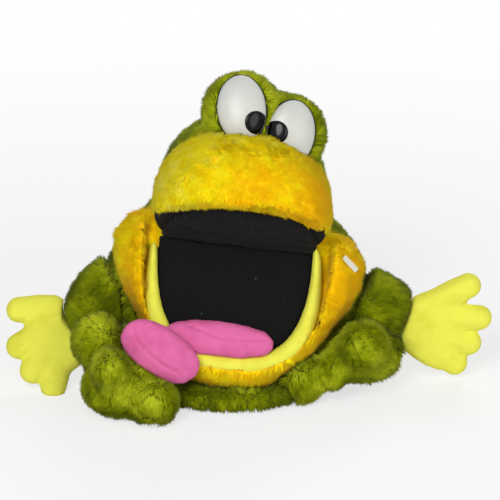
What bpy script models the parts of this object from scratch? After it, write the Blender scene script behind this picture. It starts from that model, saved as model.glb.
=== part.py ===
"""Seated plush frog with a wide open mouth, a pink tongue over its lip and domed plastic eyes.

The frame is in metres with +Z up. The frog faces -Y, and the origin is the middle of the flat
under its torso. Right and left are the frog's own, so its right side is at -X.
"""

import math

import bmesh
import bpy
from mathutils import Matrix, Vector
from mathutils.bvhtree import BVHTree

MM = 0.001

# Clearances that every piece shares
GAP = 0.3 * MM
SWEEP_GAP = 0.5 * MM
SEAT_CUT = 0.5 * MM
OVERRUN = 60 * MM
WELD = 0.004 * MM
FLAT_DEG = 2
NUDGE = 0.02 * MM
NUDGE_SIGNS = ((0, 0, 0), (1, 1, -1), (-1, 1, 1), (1, -1, 1), (-1, -2, 1), (2, -1, -1), (-2, 1, -2))
LEAST_KEPT_SHARE = 0.3
SWEEP_STEP_DEG = 5
SWEEP_SLACK_SHARE = 0.018

# Torso: the green back, sides and seat
TORSO_WIDTH = 188 * MM
TORSO_DEPTH = 144 * MM
TORSO_HEIGHT = 148 * MM
TORSO_FULLNESS = 2.5
TORSO_TAPER_SHARE = 0.06
TORSO_SHIFT_SHARES = (-0.045, 0.14)
LAP_WIDTH = 112 * MM
LAP_DEPTH = 54 * MM
LAP_HEIGHT = 24 * MM
LAP_PLACE_SHARES = (-0.083, -0.74, 0.064)

# Face pouch: the yellow cheeks and chin below the mouth
POUCH_WIDTH_SHARE = 0.867
POUCH_DEPTH = 164 * MM
POUCH_HEIGHT = 134 * MM
POUCH_FULLNESS = 2.9
POUCH_TAPER_SHARE = 0.46
POUCH_PLACE_SHARES = (-0.049, 0.0, 0.462)
SEAM_PLACE_SHARES = (0.0, 0.07, 0.96)
SEAM_LEAN_DEG = 25

# Mouth: a crease across the throat, a floor that slopes down from it and a palate above it
CREASE_PLACE_SHARES = (-0.01, -0.347, 0.786)
MOUTH_ROLL_DEG = 7
FLOOR_SLOPE_DEG = 66
PALATE_SLOPE_DEG = 41
MOUTH_WIDTH = 120 * MM
MOUTH_LENGTH = 84 * MM
MOUTH_FULLNESS = 2.6
LINING_THICKNESS = 3 * MM
FLOOR_CROWN = 6 * MM
PILLOW_RING_SHARES = (1.0, 0.97, 0.8, 0.5, 0.22)
PALATE_WIDTH = 116 * MM
PALATE_LENGTH = 66 * MM
PALATE_CROWN = 4 * MM
LIP_WIDTH = 10 * MM
LIP_THICKNESS = 10 * MM
LIP_START_SHARE = 0.06

# Muzzle, head and the mounds that carry the eyes
MUZZLE_WIDTH = 132 * MM
MUZZLE_DEPTH = 120 * MM
MUZZLE_HEIGHT = 112 * MM
MUZZLE_FULLNESS = 2.1
MUZZLE_PLAN_FULLNESS = 3.0
MUZZLE_OFFSET_SHARES = (-0.02, -0.12, 0.55)
HEAD_WIDTH = 124 * MM
HEAD_DEPTH = 116 * MM
HEAD_HEIGHT = 102 * MM
HEAD_FULLNESS = 2.1
HEAD_TAPER_SHARE = -0.04
HEAD_PLACE_SHARES = (0.03, 0.2, 1.02)
MOUND_WIDTH = 60 * MM
MOUND_PLACE_SHARES = {"right": (-0.026, -0.17, 1.14), "left": (0.506, -0.17, 0.814)}
MOUTH_CLOSE_DEG = 20

# Eyes: a domed oval, its pupil, a dark backing with a stem, and the washer on that stem
EYE_WIDTH = 36 * MM
EYE_HEIGHT = 50 * MM
EYE_BULGE = 8 * MM
EYE_SEAT_SHARE = 0.57
EYE_TURN_DEG = {"right": (65, 0, -4), "left": (73, 10, 12)}
EYE_FACETS = (18, 9)
BACKING_THICKNESS = 1.6 * MM
BACKING_RIM = 0.8 * MM
STEM_RADIUS = 2.5 * MM
STEM_LENGTH = 16 * MM
WASHER_RADIUS = 9 * MM
WASHER_THICKNESS = 2 * MM
WASHER_DEPTH_SHARE = 0.6
PUPIL_WIDTH = 17 * MM
PUPIL_THICKNESS = 0.8 * MM
PUPIL_PLACE_SHARES = {"right": (0.56, -0.46), "left": (-0.66, -0.02)}

# Tongue: the root lies along the lip and the tip hangs over it
TONGUE_LENGTH = 84 * MM
TONGUE_WIDTH = 26 * MM
TONGUE_THICKNESS = 17 * MM
TONGUE_FULLNESS = 2.5
TONGUE_PLACE_SHARES = (-0.13, 0.87)
TONGUE_LIFT_DEG = 25
TIP_LENGTH = 65 * MM
TIP_WIDTH = 36 * MM
TIP_THICKNESS = 17 * MM
TIP_PLACE_SHARES = (-0.621, -1.17, 0.361)
TIP_SLOPE_DEG = 37
FOLD_PLACE_SHARES = (-0.445, -1.03, 0.36)
FOLD_DEG = 35

# Arms and hands
ARM_LENGTH = 84 * MM
ARM_WIDTH = 62 * MM
ARM_DEPTH = 54 * MM
LIMB_FULLNESS = 2.1
ARM_CUFF_SHARE = 0.33
SHOULDER_SHARE = 0.33
ARM_PLACE_SHARES = {"right": (-1.068, -0.08, 0.436), "left": (1.011, 0.03, 0.395)}
ARM_DROP_DEG = {"right": 54, "left": 23}
ARM_RAISE_DEG = 20
PALM_WIDTH = 58 * MM
PALM_LENGTH = 58 * MM
PALM_TAPER_SHARE = 0.5
PALM_SETBACK_SHARE = 0.23
PALM_AIM_DEG = {"right": -10, "left": -8}
HAND_THICKNESS = 20 * MM
HAND_FULLNESS = 2.7
HAND_PLACE_SHARES = {"right": (-1.465, -0.19, 0.259), "left": (1.55, -0.06, 0.284)}
HAND_TILT_DEG = {"right": -30, "left": 0}
FINGER_ROOT_SHARES = (0.75, 0.28, -0.14, -0.5)
FINGER_FAN_DEG = {"right": (36, -15, -56, -87), "left": (53, 13, -25, -61)}
FINGER_REACH_SHARES = {"right": (0.586, 0.491, 0.534, 0.655), "left": (0.707, 0.586, 0.491, 0.552)}
FINGER_WIDTH = 22 * MM
FINGER_STEP = 0.4 * MM
WRIST_BEND_DEG = 12

# Legs: a thigh at the torso's side, and a foot of a pad and three toes in front of it
THIGH_LENGTH = 76 * MM
THIGH_WIDTH = 56 * MM
THIGH_PLACE_SHARES = {"right": (-0.89, -0.45, 0.228), "left": (0.929, -0.25, 0.25)}
THIGH_AIM_SHARES = {"right": (-0.8, -0.55, 0.12), "left": (0.85, -0.5, 0.02)}
HIP_PLACE_SHARES = {"right": (-0.578, -0.16, 0.2), "left": (0.619, -0.16, 0.2)}
HIP_SWING_DEG = 10
PAD_WIDTH = 62 * MM
PAD_DEPTH = 56 * MM
PAD_HEIGHT = 46 * MM
PAD_PLACE_SHARES = {"right": (-0.925, -1.05, 0.153), "left": (0.968, -0.486, 0.233)}
TOE_WIDTH_SHARES = (0.645, 0.484, 0.645)
TOE_SHARES = {
    "right": ((0.74, -0.62, -0.2), (-0.26, -0.66, 0.98), (-0.6, 0.6, 1.3)),
    "left": ((0.0, -0.75, 0.54), (-0.74, -0.61, -0.39), (-1.48, -0.61, -0.65)),
}
ANKLE_SHARES = {"right": (0.0, 0.9, 0.0), "left": (0.5, 0.7, 0.0)}
ANKLE_TURN_DEG = 8
ANKLE_START_SHARE = 0.18

# Tag pin: a paddle on the cheek, its thread and the bar that holds it inside
PADDLE_LENGTH = 14 * MM
PADDLE_WIDTH = 6 * MM
PADDLE_THICKNESS = 1 * MM
PADDLE_LEAN_DEG = 6
THREAD_RADIUS = 0.5 * MM
THREAD_LENGTH = 9 * MM
BAR_LENGTH = 8 * MM
BAR_RADIUS = 0.8 * MM
PIN_ACROSS_SHARE = 0.27
PIN_HEIGHT_SHARE = 0.71

# Facets round and along each kind of piece
BIG_FACETS = (22, 13)
LIMB_FACETS = (14, 9)
LUMP_FACETS = (11, 7)
FINGER_FACETS = (8, 8)
OUTLINE_STEPS = 20
ROUND_SIDES = 16
LIP_SIDES = 8
THREAD_SIDES = 8

SIDES = {"right": -1, "left": 1}

COLOURS = {
    "green_plush": (0.33, 0.38, 0.02),
    "yellow_plush": (0.9, 0.6, 0.01),
    "lime_fleece": (0.8, 0.8, 0.08),
    "black_knit": (0.008, 0.008, 0.009),
    "pink_knit": (0.75, 0.16, 0.46),
    "white_plastic": (0.8, 0.82, 0.79),
    "black_plastic": (0.006, 0.006, 0.006),
    "clear_plastic": (0.85, 0.85, 0.83),
}
PLASTICS = ("white_plastic", "black_plastic", "clear_plastic")
CLOTH_ROUGHNESS = 0.9
PLASTIC_ROUGHNESS = 0.25


def clear_scene():
    """Start from an empty scene."""
    for old in list(bpy.data.objects):
        bpy.data.objects.remove(old, do_unlink=True)


def material(slot):
    """The slot's material, made the first time that it is asked for."""
    found = bpy.data.materials.get(slot)
    if found:
        return found
    made = bpy.data.materials.new(slot)
    made.use_nodes = True
    shader = made.node_tree.nodes["Principled BSDF"]
    shader.inputs["Base Color"].default_value = (*COLOURS[slot], 1)
    shader.inputs["Roughness"].default_value = PLASTIC_ROUGHNESS if slot in PLASTICS else CLOTH_ROUGHNESS
    shader.inputs["Metallic"].default_value = 0
    return made


def piece(name, mesh_maker, slot=None):
    """Turn a bmesh into a named object with its material."""
    mesh = bpy.data.meshes.new(name)
    bmesh.ops.recalc_face_normals(mesh_maker, faces=mesh_maker.faces)
    mesh_maker.to_mesh(mesh)
    mesh_maker.free()
    made = bpy.data.objects.new(name, mesh)
    bpy.context.scene.collection.objects.link(made)
    if slot:
        mesh.materials.append(material(slot))
        mesh.shade_smooth()
    return made


def torso_place(shares):
    """A point given as shares of the torso's half width, half depth and height."""
    return Vector((shares[0] * TORSO_WIDTH / 2, shares[1] * TORSO_DEPTH / 2, shares[2] * TORSO_HEIGHT))


def part_place(centre, shares, size):
    """A point given as shares of a piece's half sizes, counted from its centre."""
    return centre + Vector([share * length / 2 for share, length in zip(shares, size)])


def turned(degrees_xyz):
    """A rotation about X, then Y, then Z."""
    turn = Matrix.Identity(4)
    for degrees, axis in zip(degrees_xyz, "XYZ"):
        turn = Matrix.Rotation(math.radians(degrees), 4, axis) @ turn
    return turn


def aimed(direction):
    """A rotation that takes local Z to the direction."""
    return direction.to_track_quat("Z", "Y").to_matrix().to_4x4()


def stuffed(name, centre, size, turn=None, fullness=2.0, taper_share=0.0, facets=LIMB_FACETS, slot=None, plan=None):
    """A closed stuffed form: round at a fullness of 2, boxier above it, and wider upwards by the taper."""
    plan = plan or fullness
    shape = bmesh.new()
    bmesh.ops.create_uvsphere(shape, u_segments=facets[0], v_segments=facets[1], radius=1)
    for vert in shape.verts:
        across = (abs(vert.co.x) ** plan + abs(vert.co.y) ** plan) ** (1 / plan)
        vert.co *= (across ** fullness + abs(vert.co.z) ** fullness) ** (-1 / fullness)
        vert.co.x *= 1 + taper_share * vert.co.z
    scale = Matrix.Diagonal((*[length / 2 for length in size], 1))
    place = Matrix.Translation(centre) @ (turn or Matrix.Identity(4)) @ scale
    bmesh.ops.transform(shape, matrix=place, verts=shape.verts)
    return piece(name, shape, slot)


def disc(name, frame, radius, low, high, slot=None, sides=ROUND_SIDES, stretch=1.0):
    """A round or oval plate in a frame, from its low to its high local Z."""
    shape = bmesh.new()
    bmesh.ops.create_cone(shape, cap_ends=True, segments=sides, radius1=radius, radius2=radius, depth=high - low)
    lift = Matrix.Translation((0, 0, (low + high) / 2)) @ Matrix.Diagonal((1, stretch, 1, 1))
    bmesh.ops.transform(shape, matrix=frame @ lift, verts=shape.verts)
    return piece(name, shape, slot)


def discard(made):
    """Remove an object and its mesh."""
    mesh = made.data
    bpy.data.objects.remove(made, do_unlink=True)
    bpy.data.meshes.remove(mesh)


def volume(mesh):
    shape = bmesh.new()
    shape.from_mesh(mesh)
    held = abs(shape.calc_volume(signed=True))
    shape.free()
    return held


def tree_of(mesh):
    """A search tree over a mesh's faces."""
    return BVHTree.FromPolygons([vert.co for vert in mesh.vertices], [face.vertices for face in mesh.polygons])


def faults(result, floor, core):
    """How many faces a cut leaves in the cutter's core, or None where it is open or keeps too little."""
    if not tidy_cut_edges(result) or volume(result) < floor:
        return None
    return len(tree_of(result).overlap(core)) if core else 0


def combine(target, other, operation, keep=False, least=0.0, core=None):
    """Apply one Boolean to the target's mesh, with the other piece nudged where the cut comes out unsound."""
    floor = least * volume(target.data)
    best, fewest = None, None
    modifier = target.modifiers.new(operation.lower(), "BOOLEAN")
    modifier.operation = operation
    modifier.solver = "EXACT"
    modifier.object = other
    for own_crossings, signs in [(crossings, signs) for crossings in (False, True) for signs in NUDGE_SIGNS]:
        other.location = [sign * NUDGE for sign in signs]
        modifier.use_self = own_crossings
        bpy.context.view_layer.update()
        depsgraph = bpy.context.evaluated_depsgraph_get()
        result = bpy.data.meshes.new_from_object(target.evaluated_get(depsgraph))
        found = faults(result, floor, core)
        if found is None or (best and found >= fewest):
            bpy.data.meshes.remove(result)
            continue
        if best:
            bpy.data.meshes.remove(best)
        best, fewest = result, found
        if not found:
            break
    if not best:
        raise RuntimeError(f"{target.name} stays open when {other.name} is taken to it")
    other.location = (0, 0, 0)
    target.modifiers.remove(modifier)
    old = target.data
    target.data = best
    best.name = target.name
    bpy.data.meshes.remove(old)
    if not keep:
        discard(other)


def tidy_cut_edges(mesh):
    """Weld the slivers that a cut leaves, keep the largest body, and tell whether it is closed."""
    shape = bmesh.new()
    shape.from_mesh(mesh)
    bmesh.ops.remove_doubles(shape, verts=shape.verts, dist=WELD)
    bmesh.ops.dissolve_degenerate(shape, edges=shape.edges, dist=WELD)
    bmesh.ops.dissolve_limit(
        shape, angle_limit=math.radians(FLAT_DEG), verts=shape.verts, edges=shape.edges, use_dissolve_boundaries=False
    )
    bmesh.ops.triangulate(shape, faces=shape.faces)
    drop_folded_faces(shape)
    keep_largest_body(shape)
    closed = len(shape.faces) > 0 and all(len(edge.link_faces) == 2 for edge in shape.edges)
    shape.to_mesh(mesh)
    shape.free()
    return closed


def drop_folded_faces(shape):
    """Remove pairs of faces that a weld has laid back to back, and the edges left without a face."""
    seen = {}
    for face in shape.faces:
        seen.setdefault(frozenset(vert.index for vert in face.verts), []).append(face)
    folded = [face for faces in seen.values() if len(faces) > 1 for face in faces]
    bmesh.ops.delete(shape, geom=folded, context="FACES")
    bare = [edge for edge in shape.edges if not edge.link_faces]
    bmesh.ops.delete(shape, geom=bare, context="EDGES")


def keep_largest_body(shape):
    """Remove the crumbs that a cut has set loose."""
    left = set(shape.faces)
    bodies = []
    while left:
        body = []
        queue = [left.pop()]
        while queue:
            face = queue.pop()
            body.append(face)
            for edge in face.edges:
                for other in edge.link_faces:
                    if other in left:
                        left.remove(other)
                        queue.append(other)
        bodies.append(body)
    bodies.sort(key=lambda faces: sum(face.calc_area() for face in faces))
    for crumb in bodies[:-1]:
        bmesh.ops.delete(shape, geom=crumb, context="FACES")


def crosses(target, other):
    """Whether the surfaces of two pieces meet."""
    return bool(tree_of(target.data).overlap(tree_of(other.data)))


def clear_of(target, cutter, core=None):
    """Cut a piece by a cutter that meets it, and discard the cutter and its core."""
    tree = tree_of(core.data) if core else None
    if crosses(target, cutter):
        combine(target, cutter, "DIFFERENCE", least=LEAST_KEPT_SHARE, core=tree)
    else:
        discard(cutter)
    if core:
        discard(core)


def grown(source, by=GAP, turn=None, swing=None):
    """A copy of a piece, larger all round by a clearance that widens away from a swing's axis, and turned."""
    shape = bmesh.new()
    shape.from_mesh(source.data)
    shape.normal_update()
    moves = []
    for vert in shape.verts:
        slack = SWEEP_SLACK_SHARE * (vert.co - swing[0]).cross(swing[1]).length if swing else 0
        moves.append((vert, vert.normal * (by + slack)))
    for vert, move in moves:
        vert.co += move
    if turn:
        bmesh.ops.transform(shape, matrix=turn, verts=shape.verts)
    return piece(source.name + "_grown", shape)


def cut_by(target, *larger, by=GAP):
    """Cut a piece back to a clearance from each larger neighbour."""
    for neighbour in larger:
        clear_of(target, grown(neighbour, by), grown(neighbour, by / 2))


def about(pivot, axis, degrees):
    """A rotation about an axis through a pivot."""
    spin = Matrix.Rotation(math.radians(degrees), 4, axis)
    return Matrix.Translation(pivot) @ spin @ Matrix.Translation(-pivot)


def pinch_at_seam(target, larger, pivot, axis, *ends):
    """Cut a piece by its neighbours as it meets them on its way from rest to each end of its range."""
    for end in ends:
        steps = math.ceil(abs(end) / SWEEP_STEP_DEG)
        for step in range(1, steps + 1):
            clear_when_moved(target, larger, about(pivot, axis, -end * step / steps), (pivot, axis))


def clear_when_moved(target, larger, move, swing):
    """Cut a piece by its neighbours where a move takes them, as seen from the piece."""
    for neighbour in larger:
        clear_of(target, grown(neighbour, SWEEP_GAP, move, swing), grown(neighbour, GAP, move))


def slice_off(target, point, normal):
    """Remove what lies beyond a plane and close the section."""
    shape = bmesh.new()
    shape.from_mesh(target.data)
    everything = shape.verts[:] + shape.edges[:] + shape.faces[:]
    cut = bmesh.ops.bisect_plane(shape, geom=everything, plane_co=point, plane_no=normal, clear_outer=True)
    rim = [part for part in cut["geom_cut"] if isinstance(part, bmesh.types.BMEdge)]
    if rim:
        bmesh.ops.contextual_create(shape, geom=rim)
    bmesh.ops.recalc_face_normals(shape, faces=shape.faces)
    shape.to_mesh(target.data)
    shape.free()


def seat_on_floor(target):
    """Press a piece flat where it would pass the floor."""
    slice_off(target, Vector((0, 0, 0)), Vector((0, 0, -1)))


def face_frame():
    """The mouth's frame: on the throat crease, tilted with the mouth."""
    crease = torso_place(CREASE_PLACE_SHARES)
    return Matrix.Translation(crease) @ Matrix.Rotation(math.radians(MOUTH_ROLL_DEG), 4, "Y")


def floor_frame():
    """On the mouth's floor: local -Y runs down it and local Z stands off it."""
    return face_frame() @ Matrix.Rotation(math.radians(FLOOR_SLOPE_DEG), 4, "X")


def palate_frame():
    """On the palate: local -Y runs forward along it and local Z goes up into the muzzle."""
    return face_frame() @ Matrix.Rotation(math.radians(-PALATE_SLOPE_DEG), 4, "X")


def mouth_hinge():
    """Pivot and axis of the mouth; a positive turn closes it."""
    frame = face_frame()
    return frame.translation.copy(), (frame.to_3x3() @ Vector((1, 0, 0))).normalized()


def mouth_outline(width, length):
    """The mouth's rounded U, from its top corner at -X round to the one at +X."""
    points = []
    for step in range(OUTLINE_STEPS + 1):
        angle = math.pi * step / OUTLINE_STEPS
        across, down = -math.cos(angle), math.sin(angle)
        bend = 2 / MOUTH_FULLNESS
        points.append((
            math.copysign(abs(across) ** bend, across) * width / 2,
            -(abs(down) ** bend) * length,
        ))
    return points


def prism(name, frame, outline, low, high):
    """Extrude an outline of a frame's XY plane from low to high."""
    shape = bmesh.new()
    rings = [[shape.verts.new((x, y, level)) for x, y in outline] for level in (low, high)]
    shape.faces.new(rings[0])
    shape.faces.new(rings[1])
    for index in range(len(outline)):
        after = (index + 1) % len(outline)
        shape.faces.new((rings[0][index], rings[0][after], rings[1][after], rings[1][index]))
    bmesh.ops.transform(shape, matrix=frame, verts=shape.verts)
    return piece(name, shape)


def pillow(name, frame, outline, thickness, crown, slot):
    """A padded sheet: flat under, its rim at the thickness and its middle raised by the crown."""
    shape = bmesh.new()
    middle = sum(y for _, y in outline) / len(outline)
    under = [shape.verts.new((x, y, 0)) for x, y in outline]
    shape.faces.new(under)
    below = under
    for share in PILLOW_RING_SHARES:
        height = thickness + crown * (1 - share ** 2)
        if share == PILLOW_RING_SHARES[0]:
            height = thickness / 2
        ring = [shape.verts.new((x * share, middle + (y - middle) * share, height)) for x, y in outline]
        for index in range(len(outline)):
            after = (index + 1) % len(outline)
            shape.faces.new((below[index], below[after], ring[after], ring[index]))
        below = ring
    shape.faces.new(below)
    bmesh.ops.transform(shape, matrix=frame, verts=shape.verts)
    return piece(name, shape, slot)


def torso_form(name, slot=None):
    """The whole torso with the low lap in front of it, before anything is cut from it."""
    size = (TORSO_WIDTH, TORSO_DEPTH, TORSO_HEIGHT)
    centre = torso_place((*TORSO_SHIFT_SHARES, 0.5)) - Vector((0, 0, SEAT_CUT))
    roll = turned((0, MOUTH_ROLL_DEG, 0))
    made = stuffed(name, centre, size, roll, TORSO_FULLNESS, TORSO_TAPER_SHARE, BIG_FACETS, slot)
    lap = stuffed("lap", torso_place(LAP_PLACE_SHARES), (LAP_WIDTH, LAP_DEPTH, LAP_HEIGHT))
    combine(made, lap, "UNION")
    seat_on_floor(made)
    return made


def pouch_form(name, slot=None):
    """The whole face pouch, before the seam and the mouth are cut."""
    size = (POUCH_WIDTH_SHARE * TORSO_WIDTH, POUCH_DEPTH, POUCH_HEIGHT)
    roll = turned((0, MOUTH_ROLL_DEG, 0))
    return stuffed(
        name, torso_place(POUCH_PLACE_SHARES), size, roll, POUCH_FULLNESS, POUCH_TAPER_SHARE, BIG_FACETS, slot
    )


def mouth_room():
    """The hollow in front of the mouth's floor, lip included."""
    width = MOUTH_WIDTH + 2 * LIP_WIDTH
    outline = mouth_outline(width, MOUTH_LENGTH + LIP_WIDTH)
    outline = [(-width / 2, OVERRUN), *outline, (width / 2, OVERRUN)]
    return prism("mouth_room", floor_frame(), outline, 0, 2 * OVERRUN)


def trunk_form():
    """Torso and pouch as one closed form, which the pieces round them are cut by."""
    made = torso_form("trunk")
    combine(made, pouch_form("front"), "UNION")
    combine(made, mouth_room(), "DIFFERENCE")
    return made


def add_trunk():
    """The green torso, and in front of it the yellow cheeks and chin with the mouth cut into them."""
    torso = torso_form("torso", "green_plush")
    pouch = pouch_form("face_pouch", "yellow_plush")
    back = turned((-SEAM_LEAN_DEG, 0, 0)).to_3x3() @ Vector((0, 1, 0))
    slice_off(pouch, torso_place(SEAM_PLACE_SHARES), back)
    combine(torso, grown(pouch), "DIFFERENCE")
    room = mouth_room()
    combine(pouch, room, "DIFFERENCE", keep=True)
    combine(torso, room, "DIFFERENCE")
    return torso, pouch


def add_mouth():
    """The black lining on the mouth's floor and palate, and the lip round the floor."""
    floor = floor_frame() @ Matrix.Translation((0, 0, GAP))
    lining = pillow(
        "mouth_lining", floor, mouth_outline(MOUTH_WIDTH, MOUTH_LENGTH), LINING_THICKNESS, FLOOR_CROWN, "black_knit"
    )
    down = palate_frame() @ Matrix.Rotation(math.pi, 4, "Y")
    palate = pillow(
        "palate_lining", down, mouth_outline(PALATE_WIDTH, PALATE_LENGTH), LINING_THICKNESS, PALATE_CROWN,
        "black_knit",
    )
    return lining, palate, add_lip()


def add_lip():
    """The fleece lip: a flattened tube that follows the mouth's outline."""
    width = MOUTH_WIDTH + LIP_WIDTH + 2 * GAP
    length = MOUTH_LENGTH + LIP_WIDTH / 2 + GAP
    path = [Vector((x, y, 0)) for x, y in mouth_outline(width, length)]
    path = [point for point in path if -point.y >= LIP_START_SHARE * length]
    frame = floor_frame() @ Matrix.Translation((0, 0, GAP + LIP_THICKNESS / 2))
    shape = bmesh.new()
    rings = []
    for index, point in enumerate(path):
        ahead = path[min(index + 1, len(path) - 1)] - path[max(index - 1, 0)]
        outward = Vector((-ahead.y, ahead.x, 0)).normalized() * (LIP_WIDTH / 2 - GAP)
        upward = Vector((0, 0, LIP_THICKNESS / 2))
        ring = []
        for side in range(LIP_SIDES):
            angle = 2 * math.pi * (side + 0.5) / LIP_SIDES
            ring.append(shape.verts.new(point + outward * math.cos(angle) + upward * math.sin(angle)))
        rings.append(ring)
    for ring, after in zip(rings, rings[1:]):
        for side in range(len(ring)):
            other = (side + 1) % len(ring)
            shape.faces.new((ring[side], ring[other], after[other], after[side]))
    shape.faces.new(rings[0])
    shape.faces.new(rings[-1])
    bmesh.ops.transform(shape, matrix=frame, verts=shape.verts)
    return piece("lip_band", shape, "lime_fleece")


def head_size():
    return (HEAD_WIDTH, HEAD_DEPTH, HEAD_HEIGHT)


def mound_centre(side):
    """Centre of the mound under one eye."""
    return part_place(torso_place(HEAD_PLACE_SHARES), MOUND_PLACE_SHARES[side], head_size())


def add_head():
    """The green head with its two eye mounds."""
    made = stuffed(
        "head", torso_place(HEAD_PLACE_SHARES), head_size(), turned((0, MOUTH_ROLL_DEG, 0)), HEAD_FULLNESS,
        HEAD_TAPER_SHARE, BIG_FACETS, "green_plush",
    )
    for side in SIDES:
        mound = stuffed(f"mound_{side}", mound_centre(side), (MOUND_WIDTH,) * 3, facets=LIMB_FACETS)
        combine(made, mound, "UNION")
    return made


def add_muzzle(head):
    """The yellow upper jaw, flat where the palate lining meets it and cut by the head."""
    size = (MUZZLE_WIDTH, MUZZLE_DEPTH, MUZZLE_HEIGHT)
    offset = Vector([share * length / 2 for share, length in zip(MUZZLE_OFFSET_SHARES, size)])
    made = stuffed(
        "muzzle", face_frame() @ offset, size, turned((0, MOUTH_ROLL_DEG, 0)), MUZZLE_FULLNESS, 0.0,
        BIG_FACETS, "yellow_plush", MUZZLE_PLAN_FULLNESS,
    )
    palate = palate_frame()
    slice_off(made, palate @ Vector((0, 0, GAP)), palate.to_3x3() @ Vector((0, 0, -1)))
    for side in SIDES:
        for room in eye_rooms(side):
            clear_of(made, room)
    cut_by(made, head)
    return made


def free_the_mouth(pieces, larger):
    """Cut the head's pieces so that they clear what stays still as the mouth closes."""
    pivot, axis = mouth_hinge()
    for made in pieces:
        cut_by(made, *larger)
        pinch_at_seam(made, larger, pivot, axis, MOUTH_CLOSE_DEG)


def eye_frame(side):
    """On the face of an eye's mound: local Z looks out of it."""
    tilt, yaw, roll = EYE_TURN_DEG[side]
    outward = turned((tilt, 0, yaw)) @ turned((0, 0, -roll))
    seat = mound_centre(side) + outward.to_3x3() @ Vector((0, 0, EYE_SEAT_SHARE * MOUND_WIDTH / 2))
    return Matrix.Translation(seat) @ outward


def plate_outline(growth):
    """Half width of an eye's backing with a clearance, and how much taller than wide it is."""
    outer = EYE_WIDTH / 2 + BACKING_RIM
    return outer + growth, (EYE_HEIGHT / 2 + BACKING_RIM) / outer


def shell_seat(frame):
    """Where the dome and the pupil stand over the backing."""
    return frame @ Matrix.Translation((0, 0, BACKING_THICKNESS + GAP))


def eye_rooms(side):
    """The room that an eye's backing, dome and pupil take from the muzzle in front of them."""
    frame = eye_frame(side)
    radius, stretch = plate_outline(GAP)
    rim = disc("rim_room", frame, radius, -GAP, BACKING_THICKNESS + 2 * GAP, None, 2 * ROUND_SIDES, stretch)
    return rim, dome("dome_room", shell_seat(frame), 2 * GAP + PUPIL_THICKNESS)


def dome(name, frame, growth, slot=None):
    """The eye's oval dome, larger all round by the growth, flat at its base."""
    size = [EYE_WIDTH + 2 * growth, EYE_HEIGHT + 2 * growth, 2 * (EYE_BULGE + growth)]
    made = stuffed(name, Vector((0, 0, 0)), size, facets=EYE_FACETS, slot=slot)
    made.data.transform(frame)
    slice_off(made, frame.translation, frame.to_3x3() @ Vector((0, 0, -1)))
    return made


def add_eye(side, head):
    """One eye: backing with its stem, domed shell, pupil, and the washer inside the head."""
    frame = eye_frame(side)
    outer, stretch = plate_outline(0)
    backing = disc(
        f"eye_backing_{side}", frame, outer, 0, BACKING_THICKNESS, "black_plastic", 2 * ROUND_SIDES, stretch
    )
    combine(backing, disc("stem", frame, STEM_RADIUS, -STEM_LENGTH, BACKING_THICKNESS / 2), "UNION")
    shell_frame = shell_seat(frame)
    shell = dome(f"eye_shell_{side}", shell_frame, 0, "white_plastic")
    pupil = dome(f"eye_pupil_{side}", shell_frame, GAP + PUPIL_THICKNESS, "black_plastic")
    across, up = PUPIL_PLACE_SHARES[side]
    spot = shell_frame @ Matrix.Translation((across * EYE_WIDTH / 2, up * EYE_HEIGHT / 2, 0))
    combine(pupil, disc("pupil_edge", spot, PUPIL_WIDTH / 2, GAP, OVERRUN), "INTERSECT")
    combine(pupil, dome("pupil_bed", shell_frame, GAP), "DIFFERENCE")
    depth = WASHER_DEPTH_SHARE * STEM_LENGTH
    washer = disc(
        f"eye_washer_{side}", frame, WASHER_RADIUS, -depth - WASHER_THICKNESS, -depth, "white_plastic"
    )
    combine(washer, disc("bore", frame, STEM_RADIUS + GAP, -OVERRUN, OVERRUN), "DIFFERENCE")
    room_radius = WASHER_RADIUS + GAP
    combine(head, disc("stem_bore", frame, STEM_RADIUS + GAP, -STEM_LENGTH - GAP, OVERRUN), "DIFFERENCE")
    pocket = disc("washer_pocket", frame, room_radius, -depth - WASHER_THICKNESS - GAP, GAP - depth)
    combine(head, pocket, "DIFFERENCE")
    plate_room = disc("plate_room", frame, outer + GAP, -GAP, OVERRUN, None, 2 * ROUND_SIDES, stretch)
    combine(head, plate_room, "DIFFERENCE")
    return backing, shell, pupil, washer


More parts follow.
